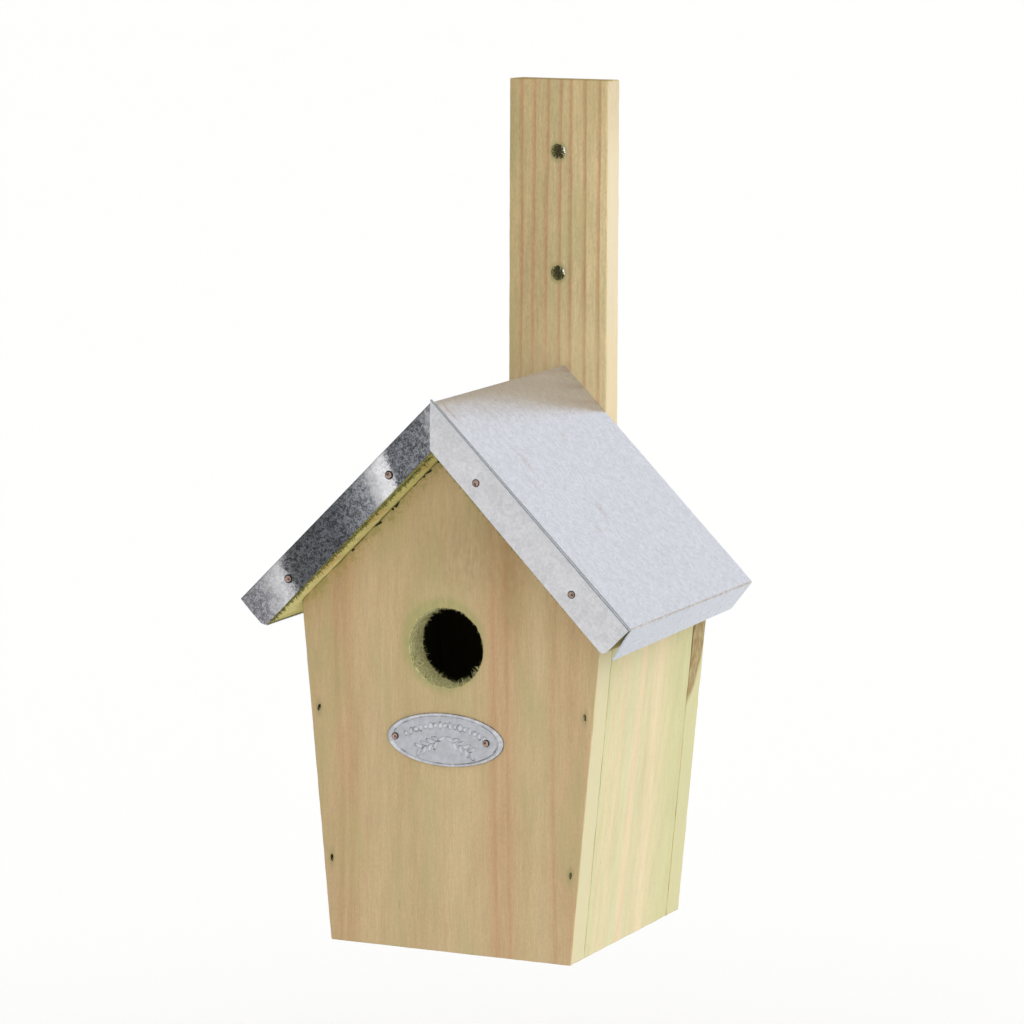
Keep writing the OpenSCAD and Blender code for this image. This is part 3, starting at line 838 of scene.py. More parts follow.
class NESTBOX_OT_entrance_fibres(bpy.types.Operator):
    """Sets torn fibres round the entrance hole, most of them where the saw crossed the grain"""
    bl_idname = "nestbox.entrance_fibres"
    bl_label = "Entrance fibres"

    def execute(self, context):
        draw = random.Random(11)
        radius = entrance_radius()
        shape = bmesh.new()
        for number in range(sizes().fibres):
            angle = draw.uniform(0, 2 * math.pi)
            way = Vector((math.cos(angle), 0, math.sin(angle)))
            if draw.random() > 0.3 + 0.7 * abs(way.z):
                continue
            rear = number % 2 == 0
            long = 1.8 if way.z < -0.3 and way.x > 0 else 1
            if rear:
                y = FRONT_HIGH.y - draw.uniform(0, 1.5) * MM
                length = draw.uniform(0.4, 1.7) * MM * long
            else:
                y = FRONT_LOW.y + draw.uniform(-0.1, 4) * MM
                length = draw.uniform(0.3, 1.1) * MM * long
            inward = -way * draw.uniform(0.35, 1)
            upright = Vector((0, 0, -way.z * draw.uniform(0, 0.9)))
            stray = Vector((draw.uniform(-0.5, 0.5), draw.uniform(-0.5, 0.5), draw.uniform(-0.4, 0.4)))
            heading = (inward + upright + stray).normalized()
            base = Vector((ENTRANCE.x, y, ENTRANCE.z)) + way * (radius + 0.15 * MM)
            curl = Vector((draw.uniform(-1, 1), draw.uniform(-1, 1), draw.uniform(-1, 1))) * 0.35
            strand(shape, base, heading, length, draw.uniform(0.1, 0.24) * MM, curl)
        # Long flakes hang where the saw came out of the grain: high on the left, low on the right.
        for low_angle, high_angle, count, sideways in (
                (100, 165, 26, 0.9), (285, 335, 34, 0.25), (175, 250, 30, 0.1)):
            for _ in range(count):
                angle = math.radians(draw.uniform(low_angle, high_angle))
                way = Vector((math.cos(angle), 0, math.sin(angle)))
                y = FRONT_LOW.y + draw.uniform(1, 11) * MM
                tangent = Vector((abs(way.z), 0, -way.x * math.copysign(1, way.z)))
                stray = Vector((0, draw.uniform(-0.5, 0.2), draw.uniform(-0.25, 0.25)))
                heading = (-way * draw.uniform(0.3, 0.8) + tangent * sideways + stray).normalized()
                base = Vector((ENTRANCE.x, y, ENTRANCE.z)) + way * (radius + 0.1 * MM)
                curl = -way * draw.uniform(0, 0.3) + Vector((0, 0, draw.uniform(-0.2, 0.3)))
                strand(shape, base, heading, draw.uniform(1.2, 3.0) * MM, draw.uniform(0.25, 0.5) * MM, curl)
        fibre = torn_pine("torn_pine_fibres", "#A8A86E", "#EAE6B6")
        new_piece("entrance_fibres", shape, [fibre], "box")
        return {"FINISHED"}


PIVOT_BORE = 2.06 * MM


class NESTBOX_OT_sides(bpy.types.Operator):
    """Makes the two side boards, with an open seam behind the front board"""
    bl_idname = "nestbox.sides"
    bl_label = "Sides"

    def execute(self, context):
        pins = islands("floor_pivot_pins")
        wood = pine("impregnated_pine_side", SIDE_BANDS, "Y", pith=(20, 46), ring=6, ring_strength=0.08,
                    green=0.12, painted_shade_inside=True, coarse=0.6)
        for number, node in enumerate(("left_side", "right_side")):
            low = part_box(node)[0]
            piece = board(
                node + "_worn", node, [wood], "box", 20 + number, y0=low.y + sizes().seam)
            bore = bmesh.new()
            lo, hi, middle = pins[number]
            rod(bore, Vector((lo.x, *middle.yz)), Vector((hi.x, *middle.yz)), PIVOT_BORE)
            cut_away(piece, bore)
        return {"FINISHED"}


class NESTBOX_OT_back_board(bpy.types.Operator):
    """Makes the back board with the notch of the turn button"""
    bl_idname = "nestbox.back_board"
    bl_label = "Back board"

    def execute(self, context):
        edge = FRONT_HIGH.x / MM
        # Painted shade at the top of the back board under the roof, darkest at its front face beside the side
        # board.
        spots = [((edge, BACK_LOW.y / MM - 2, 152), (50, 20, 65), 0.9, "#94774A", 1.0),
                 ((edge, BACK_LOW.y / MM, 146), (50, 1.6, 56), 0.5, "#6E5632", 1.0)]
        wood = pine("impregnated_pine_back", BACK_BANDS, "X", pith=(-12, 95), ring=6, ring_strength=0.3,
                    green=0.5, spots=spots, edge_tint="#CFCDA0", painted_shade_inside=True)
        piece = board("back_board_worn", "back_board", [wood], "box", 31, wander=0.22)
        cutters = bmesh.new()
        button_low, button_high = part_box("turn_button")
        wide = button_high.x - button_low.x + 2 * 1.5 * MM
        size = Vector((wide, BOARD_T + 4 * MM, 2 * (button_high.z + 0.3 * MM)))
        middle = Vector(((button_low.x + button_high.x) / 2, (BACK_LOW.y + BACK_HIGH.y) / 2, 0))
        block(cutters, Matrix.Translation(middle), size)
        for (_, _, brad), tilt in zip(islands("back_brads"), (10, -8, -5, 9)):
            place = Vector((brad.x, BACK_HIGH.y, brad.z))
            slit(cutters, place, Vector((0, 1, 0)), 1.2 * MM, 2.8 * MM, 1.4 * MM, math.radians(tilt))
        cut_away(piece, cutters)
        return {"FINISHED"}


# Fibres along each roof board's front end, and round each drilled hole at both faces
ROOF_END_FIBRES = 900
DRILL_HOLE_FIBRES = 46


class NESTBOX_OT_roof_boards(bpy.types.Operator):
    """Makes the two roof boards and the fuzz that the saw left along their front ends"""
    bl_idname = "nestbox.roof_boards"
    bl_label = "Roof boards"

    def execute(self, context):
        spots = [((0, ROOF_LOW.y / MM - 2, 190), (400, 9, 400), 0.35, "#74793B", 0.8)]
        for along, reach in ((24, 5), (54, 9), (83, 11)):
            at = slope_point(-1, along * MM, -14 * MM) / MM
            spots.append(((at.x, ROOF_LOW.y / MM + 7, at.y), (reach, 8, reach), 0.2, "#C38F58", 0.6))
        wood = pine("impregnated_pine_roof", ROOF_BANDS, "X", along="Y", pith=(30, 260), ring=6,
                    ring_strength=0.2, green=0.4, spots=spots, roughness=0.8, end_tint="#D9C3A6")
        for number, node in enumerate(("left_roof_board", "right_roof_board")):
            board(node + "_worn", node, [wood], "box", 40 + number, wander=0.14)
        draw = random.Random(23)
        shape = bmesh.new()
        for side in (-1, 1):
            for _ in range(ROOF_END_FIBRES):
                u = draw.uniform(ROOF_T + 3 * MM, SLOPE_L - 1 * MM)
                y = ROOF_LOW.y + draw.uniform(0.1, 2.0 + 3.0 * draw.random() ** 2) * MM
                point = slope_point(side, u, -ROOF_T + 0.1 * MM)
                below = slope_point(side, u + draw.uniform(-0.4, 0.4), -ROOF_T - 1)
                down = below - slope_point(side, u, -ROOF_T)
                heading = Vector((down.x, draw.uniform(-0.6, 0.5), down.y)).normalized()
                curl = Vector((draw.uniform(-1, 1), draw.uniform(-1, 1), draw.uniform(-1, 1))) * 0.4
                strand(shape, Vector((point.x, y, point.y)), heading, draw.uniform(0.4, 1.7) * MM,
                       draw.uniform(0.25, 0.6) * MM, curl)
        fuzz = torn_pine("torn_pine_roof_end", "#4F5629", "#9A9A58")
        new_piece("roof_end_fuzz", shape, [fuzz], "box")
        return {"FINISHED"}


class NESTBOX_OT_batten(bpy.types.Operator):
    """Makes the hanging batten with its two drilled holes and the sunk seats of its screws"""
    bl_idname = "nestbox.batten"
    bl_label = "Hanging batten"

    def execute(self, context):
        middle = Vector(SCREW_HOLES["pos_m"])
        half = SCREW_HOLES["dims"]["spacing_y_mm"] * MM / 2
        radius = SCREW_HOLES["dims"]["hole_r_mm"] * MM
        holes = [Vector((middle.x, BATTEN_LOW.y, middle.z + side * half)) for side in (1, -1)]
        spots = [((h.x / MM, h.y / MM, h.z / MM), (4.6, 400, 5.5), 0.66, "#8C8A55", 0.6) for h in holes]
        spots.append(((BATTEN_LOW.x / MM, 60, 318), (7, 400, 26), 0.3, "#8F8F5E", 0.4))
        # Painted light near the roof and painted shade towards the top of the batten.
        spots.append(((6, 60, 214), (44, 400, 46), 0.35, "#DCC495", 0.42))
        spots.append(((16, 60, 346), (26, 400, 44), 0.2, "#AE9468", 0.36))
        wood = pine("impregnated_pine_batten", batten_bands(), "X", ring_strength=0, wander=0.9, green=0.3,
                    spots=spots, edge_tint="#E0D3B6", coarse=1.5)
        torn = torn_pine("torn_pine_drill_hole", "#4E4A2E", "#A8A06C")
        piece = board(
            "hanging_batten_worn", "hanging_batten", [wood, torn], "box", 51, wander=0.18)
        # The saw left the top end a little out of square: low at the rear and at one side.
        for vert in piece.data.vertices:
            if vert.co.z > BATTEN_HIGH.z - 2 * MM:
                back = (vert.co.y - BATTEN_LOW.y) / (BATTEN_HIGH.y - BATTEN_LOW.y)
                aside = (BATTEN_HIGH.x - vert.co.x) / (BATTEN_HIGH.x - BATTEN_LOW.x)
                vert.co.z -= (0.35 + 0.35 * back + 0.35 * aside) * MM
        cutters = bmesh.new()
        for number, hole in enumerate(holes):
            rough_bore(cutters, hole, radius - 0.1 * MM, BATTEN_LOW.y, BATTEN_HIGH.y, 0.45 * MM, 0.3 * MM,
                       60 + number, segments=48)
        for lo, hi, screw in islands("batten_screws"):
            place = Vector((screw.x, BATTEN_HIGH.y, screw.z))
            mouth = (hi.x - lo.x) / 2 + 0.55 * MM
            rod(cutters, place + Vector((0, 0.5 * MM, 0)), place - Vector((0, 3 * MM, 0)), mouth, 1.2 * MM)
        cut_away(piece, cutters)

        def in_hole(c, n):
            return min((c.xz - hole.xz).length for hole in holes) < 3.4 * MM and abs(n.y) < 0.9

        paint_faces(piece, 1, in_hole)
        draw = random.Random(64)
        shape = bmesh.new()
        for hole in holes:
            for _ in range(DRILL_HOLE_FIBRES):
                angle = draw.uniform(0, 2 * math.pi)
                way = Vector((math.cos(angle), 0, math.sin(angle)))
                y = draw.choice((BATTEN_LOW.y, BATTEN_HIGH.y - 2 * MM)) + draw.uniform(0, 1) * MM
                stray = Vector((draw.uniform(-0.7, 0.7), draw.uniform(-0.6, 0.6), draw.uniform(-0.7, 0.7)))
                strand(shape, Vector((hole.x, y, hole.z)) + way * radius, (stray - way).normalized(),
                       draw.uniform(0.4, 1.7) * MM, draw.uniform(0.15, 0.4) * MM, stray * 0.3)
        fibre = torn_pine("torn_pine_drill_fibres", "#9A9460", "#DDD6A8")
        new_piece("drill_fibres", shape, [fibre], "box")
        return {"FINISHED"}


class NESTBOX_OT_floor_panel(bpy.types.Operator):
    """Makes the floor that swings down"""
    bl_idname = "nestbox.floor_panel"
    bl_label = "Floor"

    def execute(self, context):
        wood = pine("impregnated_pine_floor", FLOOR_BANDS, "X", along="Y", pith=(10, 60), ring=5.5,
                    ring_strength=0.3, green=0.3)
        piece = board("floor_panel_worn", "floor_panel", [wood], "floor", 71)
        bores = bmesh.new()
        for lo, hi, middle in islands("floor_pivot_pins"):
            rod(bores, Vector((lo.x, *middle.yz)), Vector((hi.x, *middle.yz)), (hi.z - lo.z) / 2)
        cut_away(piece, bores)
        return {"FINISHED"}


# ---------------------------------------------------------------- sheet roof

HEM_GAP = 0.3 * MM
# Water stains on the right slope: down the slope, along the ridge, how far each way, and how strong
SLOPE_STAINS = (
    (6, -62, 7, 2.4, 0.7), (36, -38, 9, 2.8, 0.6), (47, -46, 6, 2.4, 0.5), (66, -12, 7, 4, 0.45),
    (74, -27, 4, 3.4, 0.45), (53, -26, 1.2, 1, 0.7), (70, 18, 2.4, 0.8, 0.8), (56, 26, 2, 0.9, 0.65),
    (30, 8, 5, 2.4, 0.4), (92, 5, 4, 2.4, 0.4),
)
SHEET_ROWS = 46
FASCIA_ROWS = 110


def hem_end(share):
    """Where the hem on top of the fascia ends: it widens from the ridge, share 0, to the eaves, 1."""
    return FACE_Y + sizes().bend + (0.3 + 0.8 * min(1, share)) * MM


class NESTBOX_OT_roof_sheet(bpy.types.Operator):
    """Folds the roof sheet over both slopes and down at the eaves"""
    bl_idname = "nestbox.roof_sheet"
    bl_label = "Roof sheet"

    def execute(self, context):
        bend = sizes().bend
        y_rear = ROOF_HIGH.y
        rows = []
        for row in range(SHEET_ROWS + 1):
            share = row / SHEET_ROWS
            flare = sizes().flare_front + (sizes().flare_rear - sizes().flare_front) * share
            corners = []
            for side, angle in ((-1, 0.0), (1, flare)):
                edge_u = SLOPE_L + SHEET_T
                foot_u = edge_u + sizes().flange_h * math.sin(angle)
                foot_w = SHEET_T - sizes().flange_h * math.cos(angle)
                corners.append([slope_point(side, foot_u, foot_w), slope_point(side, edge_u, SHEET_T)])
            ridge = slope_point(1, -SHEET_T, SHEET_T)
            line = fillet([*corners[0], ridge, *corners[1][::-1]], (bend, bend * 1.2, bend))
            points = []
            for p in resample(line, 4 * MM):
                y_front = hem_end(abs(p.x) / ROOF_HIGH.x) + HEM_GAP
                y = y_front + (y_rear - y_front) * share
                swell = 0.5 + 0.5 * noise.noise(Vector((p.x * 24, y * 17, 3.7)))
                up = Vector((math.copysign(1, p.x), 1)).normalized() * swell * 0.12 * MM
                inside = abs(p.x) < ROOF_HIGH.x - 3 * MM and abs(p.x) > 3 * MM
                q = p + up if inside else p
                points.append(Vector((q.x, y, q.y)))
            rows.append(points)
        stains = []
        for u, y, reach, width, strength in SLOPE_STAINS:
            at = slope_point(1, u * MM, SHEET_T)
            stains.append(((at.x / MM, y, at.y / MM), (reach, width, reach), 0.1, "#AB9D85", strength))
        slope = galvanised("galvanised_steel_slope", "#C0C2CB", "#D8DAE3", 1.7, 0.95, 0.11, marks=0.14,
                           stains=stains, metallic=0.82)
        # Painted shade: the flange gets a darker copy of the slope's steel.
        flange = galvanised("galvanised_steel_flange_painted_shade", "#BABFCA", "#C2C8D3", 2.6, 0.9, 0.24, marks=0.04)
        crease = galvanised("galvanised_steel_eave_bend", "#B3ADA8", "#CFCCCB", 2.6, 1.2, 0.3, marks=0.6)
        piece = new_piece(
            "roof_sheet", sheet_from_rows(rows), [slope, flange, crease], "box",
            ["roof_cover"], True)
        thicken(piece, 0.5 * MM)

        def on_flange(c, n):
            return slope_place(math.copysign(1, c.x), c.x, c.z)[1] < -0.4 * MM

        def on_crease(c, n):
            u = slope_place(math.copysign(1, c.x), c.x, c.z)[0]
            return u > SLOPE_L + SHEET_T - bend and not on_flange(c, n)

        # The flange faces take the darker copy, which is painted shade.
        paint_faces(piece, 1, on_flange)
        paint_faces(piece, 2, on_crease)
        return {"FINISHED"}


class NESTBOX_OT_fascias(bpy.types.Operator):
    """Folds the two front fascias, the right one lapped over the left at the ridge"""
    bl_idname = "nestbox.fascias"
    bl_label = "Fascias"

    def execute(self, context):
        nails = [middle for _, _, middle in islands("fascia_nails")]
        # The painted reflection on the left fascia changes down the left slope, leaning as the creases beside
        # the nails do
        lean = -0.4
        crease = Vector((-1 + lean, 0, -1 - lean)) / DIAG
        start = crease.dot(Vector((0, 0, RIDGE_Z / MM)))
        first, second = sorted(crease.dot(n) / MM for n in nails if n.x < 0)
        # Painted reflection of the left fascia: dark stretches, and bright patches below each nail.
        painted_reflection_tones = [
            (start - 3, "#6A6B70"), (start + 4, "#9C9CA0"), (start + 8, "#77787D"), (start + 14, "#6E7075"),
            (first - 2.5, "#6B6D72"), (first - 0.2, "#CFCFD2"), (first + 3, "#E6E6E8"),
            (first + 8, "#BDBDC0"), (first + 14, "#85878C"), (first + 22, "#6E7075"), (first + 32, "#54555A"),
            (second - 6, "#505154"), (second - 2.0, "#5E5F62"), (second + 0.6, "#B4B4B7"),
            (second + 4, "#CBCBCD"), (second + 9, "#B2B1B4"), (second + 15, "#919095"),
            (second + 24, "#7C7B80")]
        # The left fascia carries the painted reflection. The right one keeps the plain tone of the sheet.
        dark = galvanised(
            "galvanised_steel_spangled_painted_reflection", "#909196", "#FFFFFF", 1.3, 1.6, 0.32, (crease, painted_reflection_tones), 0)
        pale = galvanised("galvanised_steel_fascia", "#CDCDD0", "#DFDFE2", 3.0, 1.0, 0.38)
        # Painted reflection: the bend of each fascia is painted dark and the top of its hem grey.
        line = galvanised("galvanised_steel_fold_painted_reflection", "#55595D", "#6F7377", 1.2, 1.0, 0.55, marks=0)
        hem = galvanised("galvanised_steel_hem_painted_reflection", "#989CA0", "#B4B7BB", 1.2, 1.0, 0.5, marks=0)
        for side, steel in ((-1, dark), (1, pale)):
            self.fold(side, [steel, line, hem], [n for n in nails if n.x * side > 0])
        return {"FINISHED"}

    def fold(self, side, steels, nails):
        lap = 0.05 * MM if side > 0 else 0
        face_y = FACE_Y - (0.35 * MM if side > 0 else 0.05 * MM)
        ridge_x = -0.5 * MM if side > 0 else -0.1 * MM
        seats = [slope_place(side, n.x, n.z) for n in nails]
        top_w = SHEET_T + lap
        rows = []
        for number in range(FASCIA_ROWS + 1):
            share = number / FASCIA_ROWS
            height = sizes().fascia_h + sizes().fascia_growth * share
            profile = fillet(
                [Vector((hem_end(share), top_w)), Vector((face_y, top_w)),
                 Vector((face_y, SHEET_T - height))], (sizes().bend * 0.45,), steps=4)
            face_top = profile[-2].y
            low_steps = 12
            line = profile[:-1] + [Vector((face_y, face_top + (profile[-1].y - face_top) * i / low_steps))
                                   for i in range(1, low_steps + 1)]
            row = []
            for y, w in line:
                start = side * ridge_x * DIAG - w
                end = SLOPE_L + 2 * SHEET_T - top_w
                u = start + (end - start) * share
                depth = min(1, max(0, (face_top - w) / height))
                corner = 2.2 * MM
                past = u - (end - corner)
                if past > 0 and w < SHEET_T - height + corner:
                    lift = corner - math.sqrt(max(0, corner ** 2 - past ** 2))
                    w = max(w, SHEET_T - height + lift)
                proud = 0.3 * MM * min(1, depth * 3)
                for seat_u, seat_w in seats:
                    near = ((u - seat_u) / (7 * MM)) ** 2 + ((w - seat_w) / (6 * MM)) ** 2
                    proud *= 1 - math.exp(-near)
                ripple = 0.06 * MM * noise.noise(Vector((u * 90, w * 160, side * 5)))
                point = slope_point(side, u, w)
                row.append(Vector((point.x, y - proud + ripple * depth, point.y)))
            rows.append(row)
        if side < 0:
            rows.reverse()
        name = "fascia_right" if side > 0 else "fascia_left"
        piece = new_piece(
            name, sheet_from_rows(rows), steels, "box", ["roof_cover"], True)
        thicken(piece, 0.4 * MM)
        up = Vector((side, 0, 1)).normalized()
        # Painted reflection: the bend's faces get the dark steel and the hem's top faces the grey steel, by
        # the way they turn.
        paint_faces(piece, 1, lambda c, n: 0.3 < n.dot(up) < 0.98)
        paint_faces(piece, 2, lambda c, n: n.dot(up) >= 0.98)


# ---------------------------------------------------------------- nails and hardware

FACING_FRONT = Matrix.Rotation(math.radians(90), 4, "X")
FACING_BACK = Matrix.Rotation(math.radians(-90), 4, "X")


def domed_nail(shape, x, z, front, head_r, head_t, turn, copper_share):
    """Adds a nail whose head was struck a little off centre, on a dark ring round its foot that is
    painted shade in the gap of its hole, with a little tarnish. copper_share is how much of the head's
    radius keeps the copper; the rim beyond it and a crescent beside the dent get the dark steel,
    painted shade with some tarnish."""
    first_face = len(shape.faces)
    profile = [(0, -6 * MM), (head_r * 0.5, -6 * MM), (head_r * 0.5, -0.2 * MM), (head_r * 1.12, -0.2 * MM),
               (head_r * 1.12, 0.1 * MM), (head_r, 0.12 * MM), (head_r, head_t * 0.5),
               (head_r * 0.93, head_t * 0.72), (head_r * 0.8, head_t * 0.86), (head_r * 0.62, head_t * 0.95),
               (head_r * 0.44, head_t), (head_r * 0.26, head_t), (head_r * 0.12, head_t), (0, head_t)]
    struck = Vector((math.cos(turn), math.sin(turn)))

    def dent(point):
        if point.z < head_t * 0.6:
            return 0
        away = (point.xy - struck * head_r * 0.3).length
        return 0.5 * head_t * math.exp(-(away / (head_r * 0.26)) ** 2)

    place = Matrix.Translation((x, front + head_t, z)) @ FACING_FRONT
    lathe(shape, profile, place, dent=dent)
    shape.faces.ensure_lookup_table()
    for face in shape.faces[first_face:]:
        middle = place.inverted() @ face.calc_center_median()
        away = middle.xy.length / head_r
        beside = abs((middle.xy - struck * head_r * 0.3).length / head_r - 0.24)
        # Painted shade, with some tarnish: the ring at the foot, the rim of the head and a crescent beside
        # the dent.
        if away > copper_share or (beside < 0.12 and middle.xy.dot(struck) > 0):
            face.material_index = 1


class NESTBOX_OT_nails(bpy.types.Operator):
    """Makes the coppered nails of the fascias and the plaque, and the brads in their slits"""
    bl_idname = "nestbox.nails"
    bl_label = "Nails and brads"

    def execute(self, context):
        copper = plated("coppered_steel_nail", tuple(colours().copper), 0.38, 0.5)
        # The dark steel is tarnish and painted shade round the nail heads.
        worn = plated("tarnished_steel_nail_edge_painted_shade", linear("#463E3B"), 0.6, 0.5)
        for node in ("fascia_nails", "plaque_nails"):
            shape = bmesh.new()
            for number, (lo, hi, middle) in enumerate(islands(node)):
                head_t, copper_share = (0.75 * MM, 0.82) if node == "fascia_nails" else (0.65 * MM, 0.93)
                domed_nail(shape, middle.x, middle.z, lo.y, (hi.x - lo.x) / 2, head_t, number * 2.1, copper_share)
            new_piece(node + "_struck", shape, [copper, worn], "box", [node], True)
        dull = plated("dull_steel_brad", linear("#4A473F"), 0.55, 0.4)
        for node, outward in (("front_brads", -1), ("back_brads", 1)):
            shape = bmesh.new()
            for _, _, middle in islands(node):
                face = FRONT_LOW.y if outward < 0 else BACK_HIGH.y
                size = Vector((0.7 * MM, 8 * MM, 1.5 * MM))
                centre = Vector((middle.x, face - outward * (1.1 * MM + size.y / 2), middle.z))
                done = set(shape.edges)
                block(shape, Matrix.Translation(centre), size)
                fresh = [edge for edge in shape.edges if edge not in done]
                bmesh.ops.bevel(shape, geom=fresh, offset=0.12 * MM, segments=2, affect="EDGES")
            new_piece(node + "_sunk", shape, [dull], "box", [node])
        return {"FINISHED"}


def cross_recess(shape, place, size, depth):
    """Adds a cutter for the cross in a screw's head; place puts +Z outward at the head's face."""
    for turn in (0, math.pi / 2):
        block(shape, place @ Matrix.Rotation(turn, 4, "Z"), (size, size * 0.24, depth * 2))


class NESTBOX_OT_hardware(bpy.types.Operator):
    """Makes the screws with their cross recesses, the pivot pins and the turn button"""
    bl_idname = "nestbox.hardware"
    bl_label = "Screws, pins and button"

    def execute(self, context):
        zinc = plated("zinc_plated_steel", tuple(colours().zinc), 0.33)
        shape = bmesh.new()
        crosses = bmesh.new()
        for lo, hi, middle in islands("batten_screws"):
            head = (hi.x - lo.x) / 2
            tip = lo.y - hi.y
            place = Matrix.Translation((middle.x, hi.y - 0.3 * MM, middle.z)) @ FACING_BACK
            lathe(shape, [(0, tip + 2 * MM), (1.7 * MM, tip + 4 * MM), (1.75 * MM, -2.6 * MM),
                          (head * 0.97, -0.25 * MM), (head, -0.1 * MM), (head * 0.96, 0), (0, 0)], place)
            cross_recess(crosses, place, head * 1.15, 1.4 * MM)
        bmesh.ops.recalc_face_normals(shape, faces=shape.faces)
        piece = new_piece("batten_screws_crossed", shape, [zinc], "box", ["batten_screws"])
        cut_away(piece, crosses, crossing=True)

        lo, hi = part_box("turn_button_screw")
        x, y = (lo.x + hi.x) / 2, (lo.y + hi.y) / 2
        head = (hi.x - lo.x) / 2
        head_t = 1.7 * MM
        place = Matrix.Translation((x, y, lo.z + head_t)) @ Matrix.Rotation(math.pi, 4, "X")
        shape = bmesh.new()
        tip = lo.z - hi.z + head_t
        lathe(shape, [(0, tip), (1.5 * MM, tip + 2 * MM), (1.5 * MM, 0), (head, 0), (head, head_t * 0.35),
                      (head * 0.9, head_t * 0.75), (head * 0.7, head_t * 0.95), (0, head_t)], place)
        crosses = bmesh.new()
        cross_recess(crosses, place @ Matrix.Translation((0, 0, head_t)), head * 1.1, 1 * MM)
        bmesh.ops.recalc_face_normals(shape, faces=shape.faces)
        piece = new_piece("button_screw_crossed", shape, [zinc], "box", ["turn_button_screw"])
        cut_away(piece, crosses, crossing=True)

        for node, body in (("turn_button", "button"), ("floor_pivot_pins", "floor")):
            shape = bmesh.new()
            shape.from_mesh(frame["nodes"][node].data)
            bmesh.ops.remove_doubles(shape, verts=shape.verts, dist=0.001 * MM)
            bmesh.ops.dissolve_limit(shape, angle_limit=math.radians(1), verts=shape.verts, edges=shape.edges)
            rims = [e for e in shape.edges if e.calc_face_angle(0) > math.radians(50)]
            bmesh.ops.bevel(
                shape, geom=rims, offset=0.3 * MM, segments=2, affect="EDGES", clamp_overlap=True)
            new_piece(node + "_eased", shape, [zinc], body, [node])
        for node in ("roof_brads", "ridge_brads"):
            mesh = frame["nodes"][node].data
            mesh.materials.clear()
            mesh.materials.append(zinc)
        return {"FINISHED"}


# ---------------------------------------------------------------- plaque

def sprig_leaves():
    """Leaves of two plain twigs that lean towards each other, as (x, z, angle, length), in
    millimetres from the plaque's centre."""
    leaves = []
    for mirror in (-1, 1):
        for number in range(4):
            x = 11.5 - 2.5 * number
            z = -4.4 + 1.1 * number
            for side in (-1, 1):
                angle = math.radians(156 + side * 44)
                leaves.append((mirror * (x + 0.2), z + side * 1.25, mirror * (angle - math.pi), 3.1))
        leaves.append((mirror * 1.6, 0.4, mirror * (math.radians(158) - math.pi), 3.2))
    return leaves


def stamped_height(x, z, half_l, half_h, leaves):
    """Height of the relief, from 0 to 1, at x and z millimetres from the plaque's centre."""
    edge = math.hypot(x / half_l, z / half_h)
    height = 0.4
    if edge > 0.92:
        return 0.75
    if edge > 0.86:
        return height - 0.35 * math.exp(-((edge - 0.895) / 0.014) ** 2)
    marks = []
    for cx, cz, angle, length in leaves:
        dx, dz = x - cx, z - cz
        if dx * dx + dz * dz > length * length:
            continue
        along = (dx * math.cos(angle) + dz * math.sin(angle)) / (length / 2)
        beside = (-dx * math.sin(angle) + dz * math.cos(angle)) / (length * 0.19)
        marks.append((math.hypot(along, beside), 0.3 * math.exp(-(beside / 0.25) ** 2)))
    for number in range(-8, 9):
        # A row of short bars under the rim
        bar_x = number * 2.15
        bar_z = 5.9 - 0.0145 * bar_x * bar_x
        dx, dz = (x - bar_x) / (0.62 if number % 3 else 0.95), (z - bar_z) / (1.15 if number % 2 else 0.8)
        marks.append((math.hypot(dx, dz), 0))
    for away, vein in marks:
        if away < 1:
            height = max(height, 0.55 + 0.45 * math.sqrt(1 - away) - vein)
        elif away < 1.5:
            height = min(height, 0.4 - 0.4 * math.sin((away - 1) * 2 * math.pi) ** 2)
    return height


class NESTBOX_OT_plaque(bpy.types.Operator):
    """Stamps the oval plaque: a raised rim, two leafy twigs and a row of plain bars"""
    bl_idname = "nestbox.plaque"
    bl_label = "Plaque"

    def execute(self, context):
        left, right = (middle for _, _, middle in islands("plaque_nails"))
        tilt = math.atan2(right.z - left.z, right.x - left.x)
        centre = (PLAQUE_LOW + PLAQUE_HIGH) / 2
        half_l = (PLAQUE_HIGH.x - PLAQUE_LOW.x) / 2 / MM
        half_h = (PLAQUE_HIGH.z - PLAQUE_LOW.z) / 2 / MM
        back_y = PLAQUE_HIGH.y
        plate = PLAQUE_HIGH.y - PLAQUE_LOW.y - sizes().relief
        ring_count, segments = 96, 300
        leaves = sprig_leaves()
        place = Matrix.Translation((centre.x, 0, centre.z)) @ Matrix.Rotation(-tilt, 4, "Y")
        shape = bmesh.new()
        rings = [[shape.verts.new(place @ Vector((0, back_y - plate, 0)))]]
        for ring in range(1, ring_count + 1):
            share = ring / ring_count
            verts = []
            for i in range(segments):
                angle = 2 * math.pi * i / segments
                x, z = half_l * share * math.cos(angle), half_h * share * math.sin(angle)
                height = stamped_height(x, z, half_l, half_h, leaves) * sizes().relief
                rim = max(0, share - 0.965) / 0.035
                drop = (1 - math.sqrt(max(0, 1 - rim * rim))) * 0.35 * MM
                y = back_y - plate - height + drop
                verts.append(shape.verts.new(place @ Vector((x * MM, y, z * MM))))
            rings.append(verts)
        foot = [shape.verts.new((vert.co.x, back_y, vert.co.z)) for vert in rings[-1]]
        rings.append(foot)
        skin(shape, rings)
        shape.faces.new(foot)
        bmesh.ops.recalc_face_normals(shape, faces=shape.faces)
        new_piece("plaque_stamped", shape, [stamped_zinc("stamped_zinc_plaque")], "box",
                  ["name_plaque"], True)
        return {"FINISHED"}


# ---------------------------------------------------------------- stage

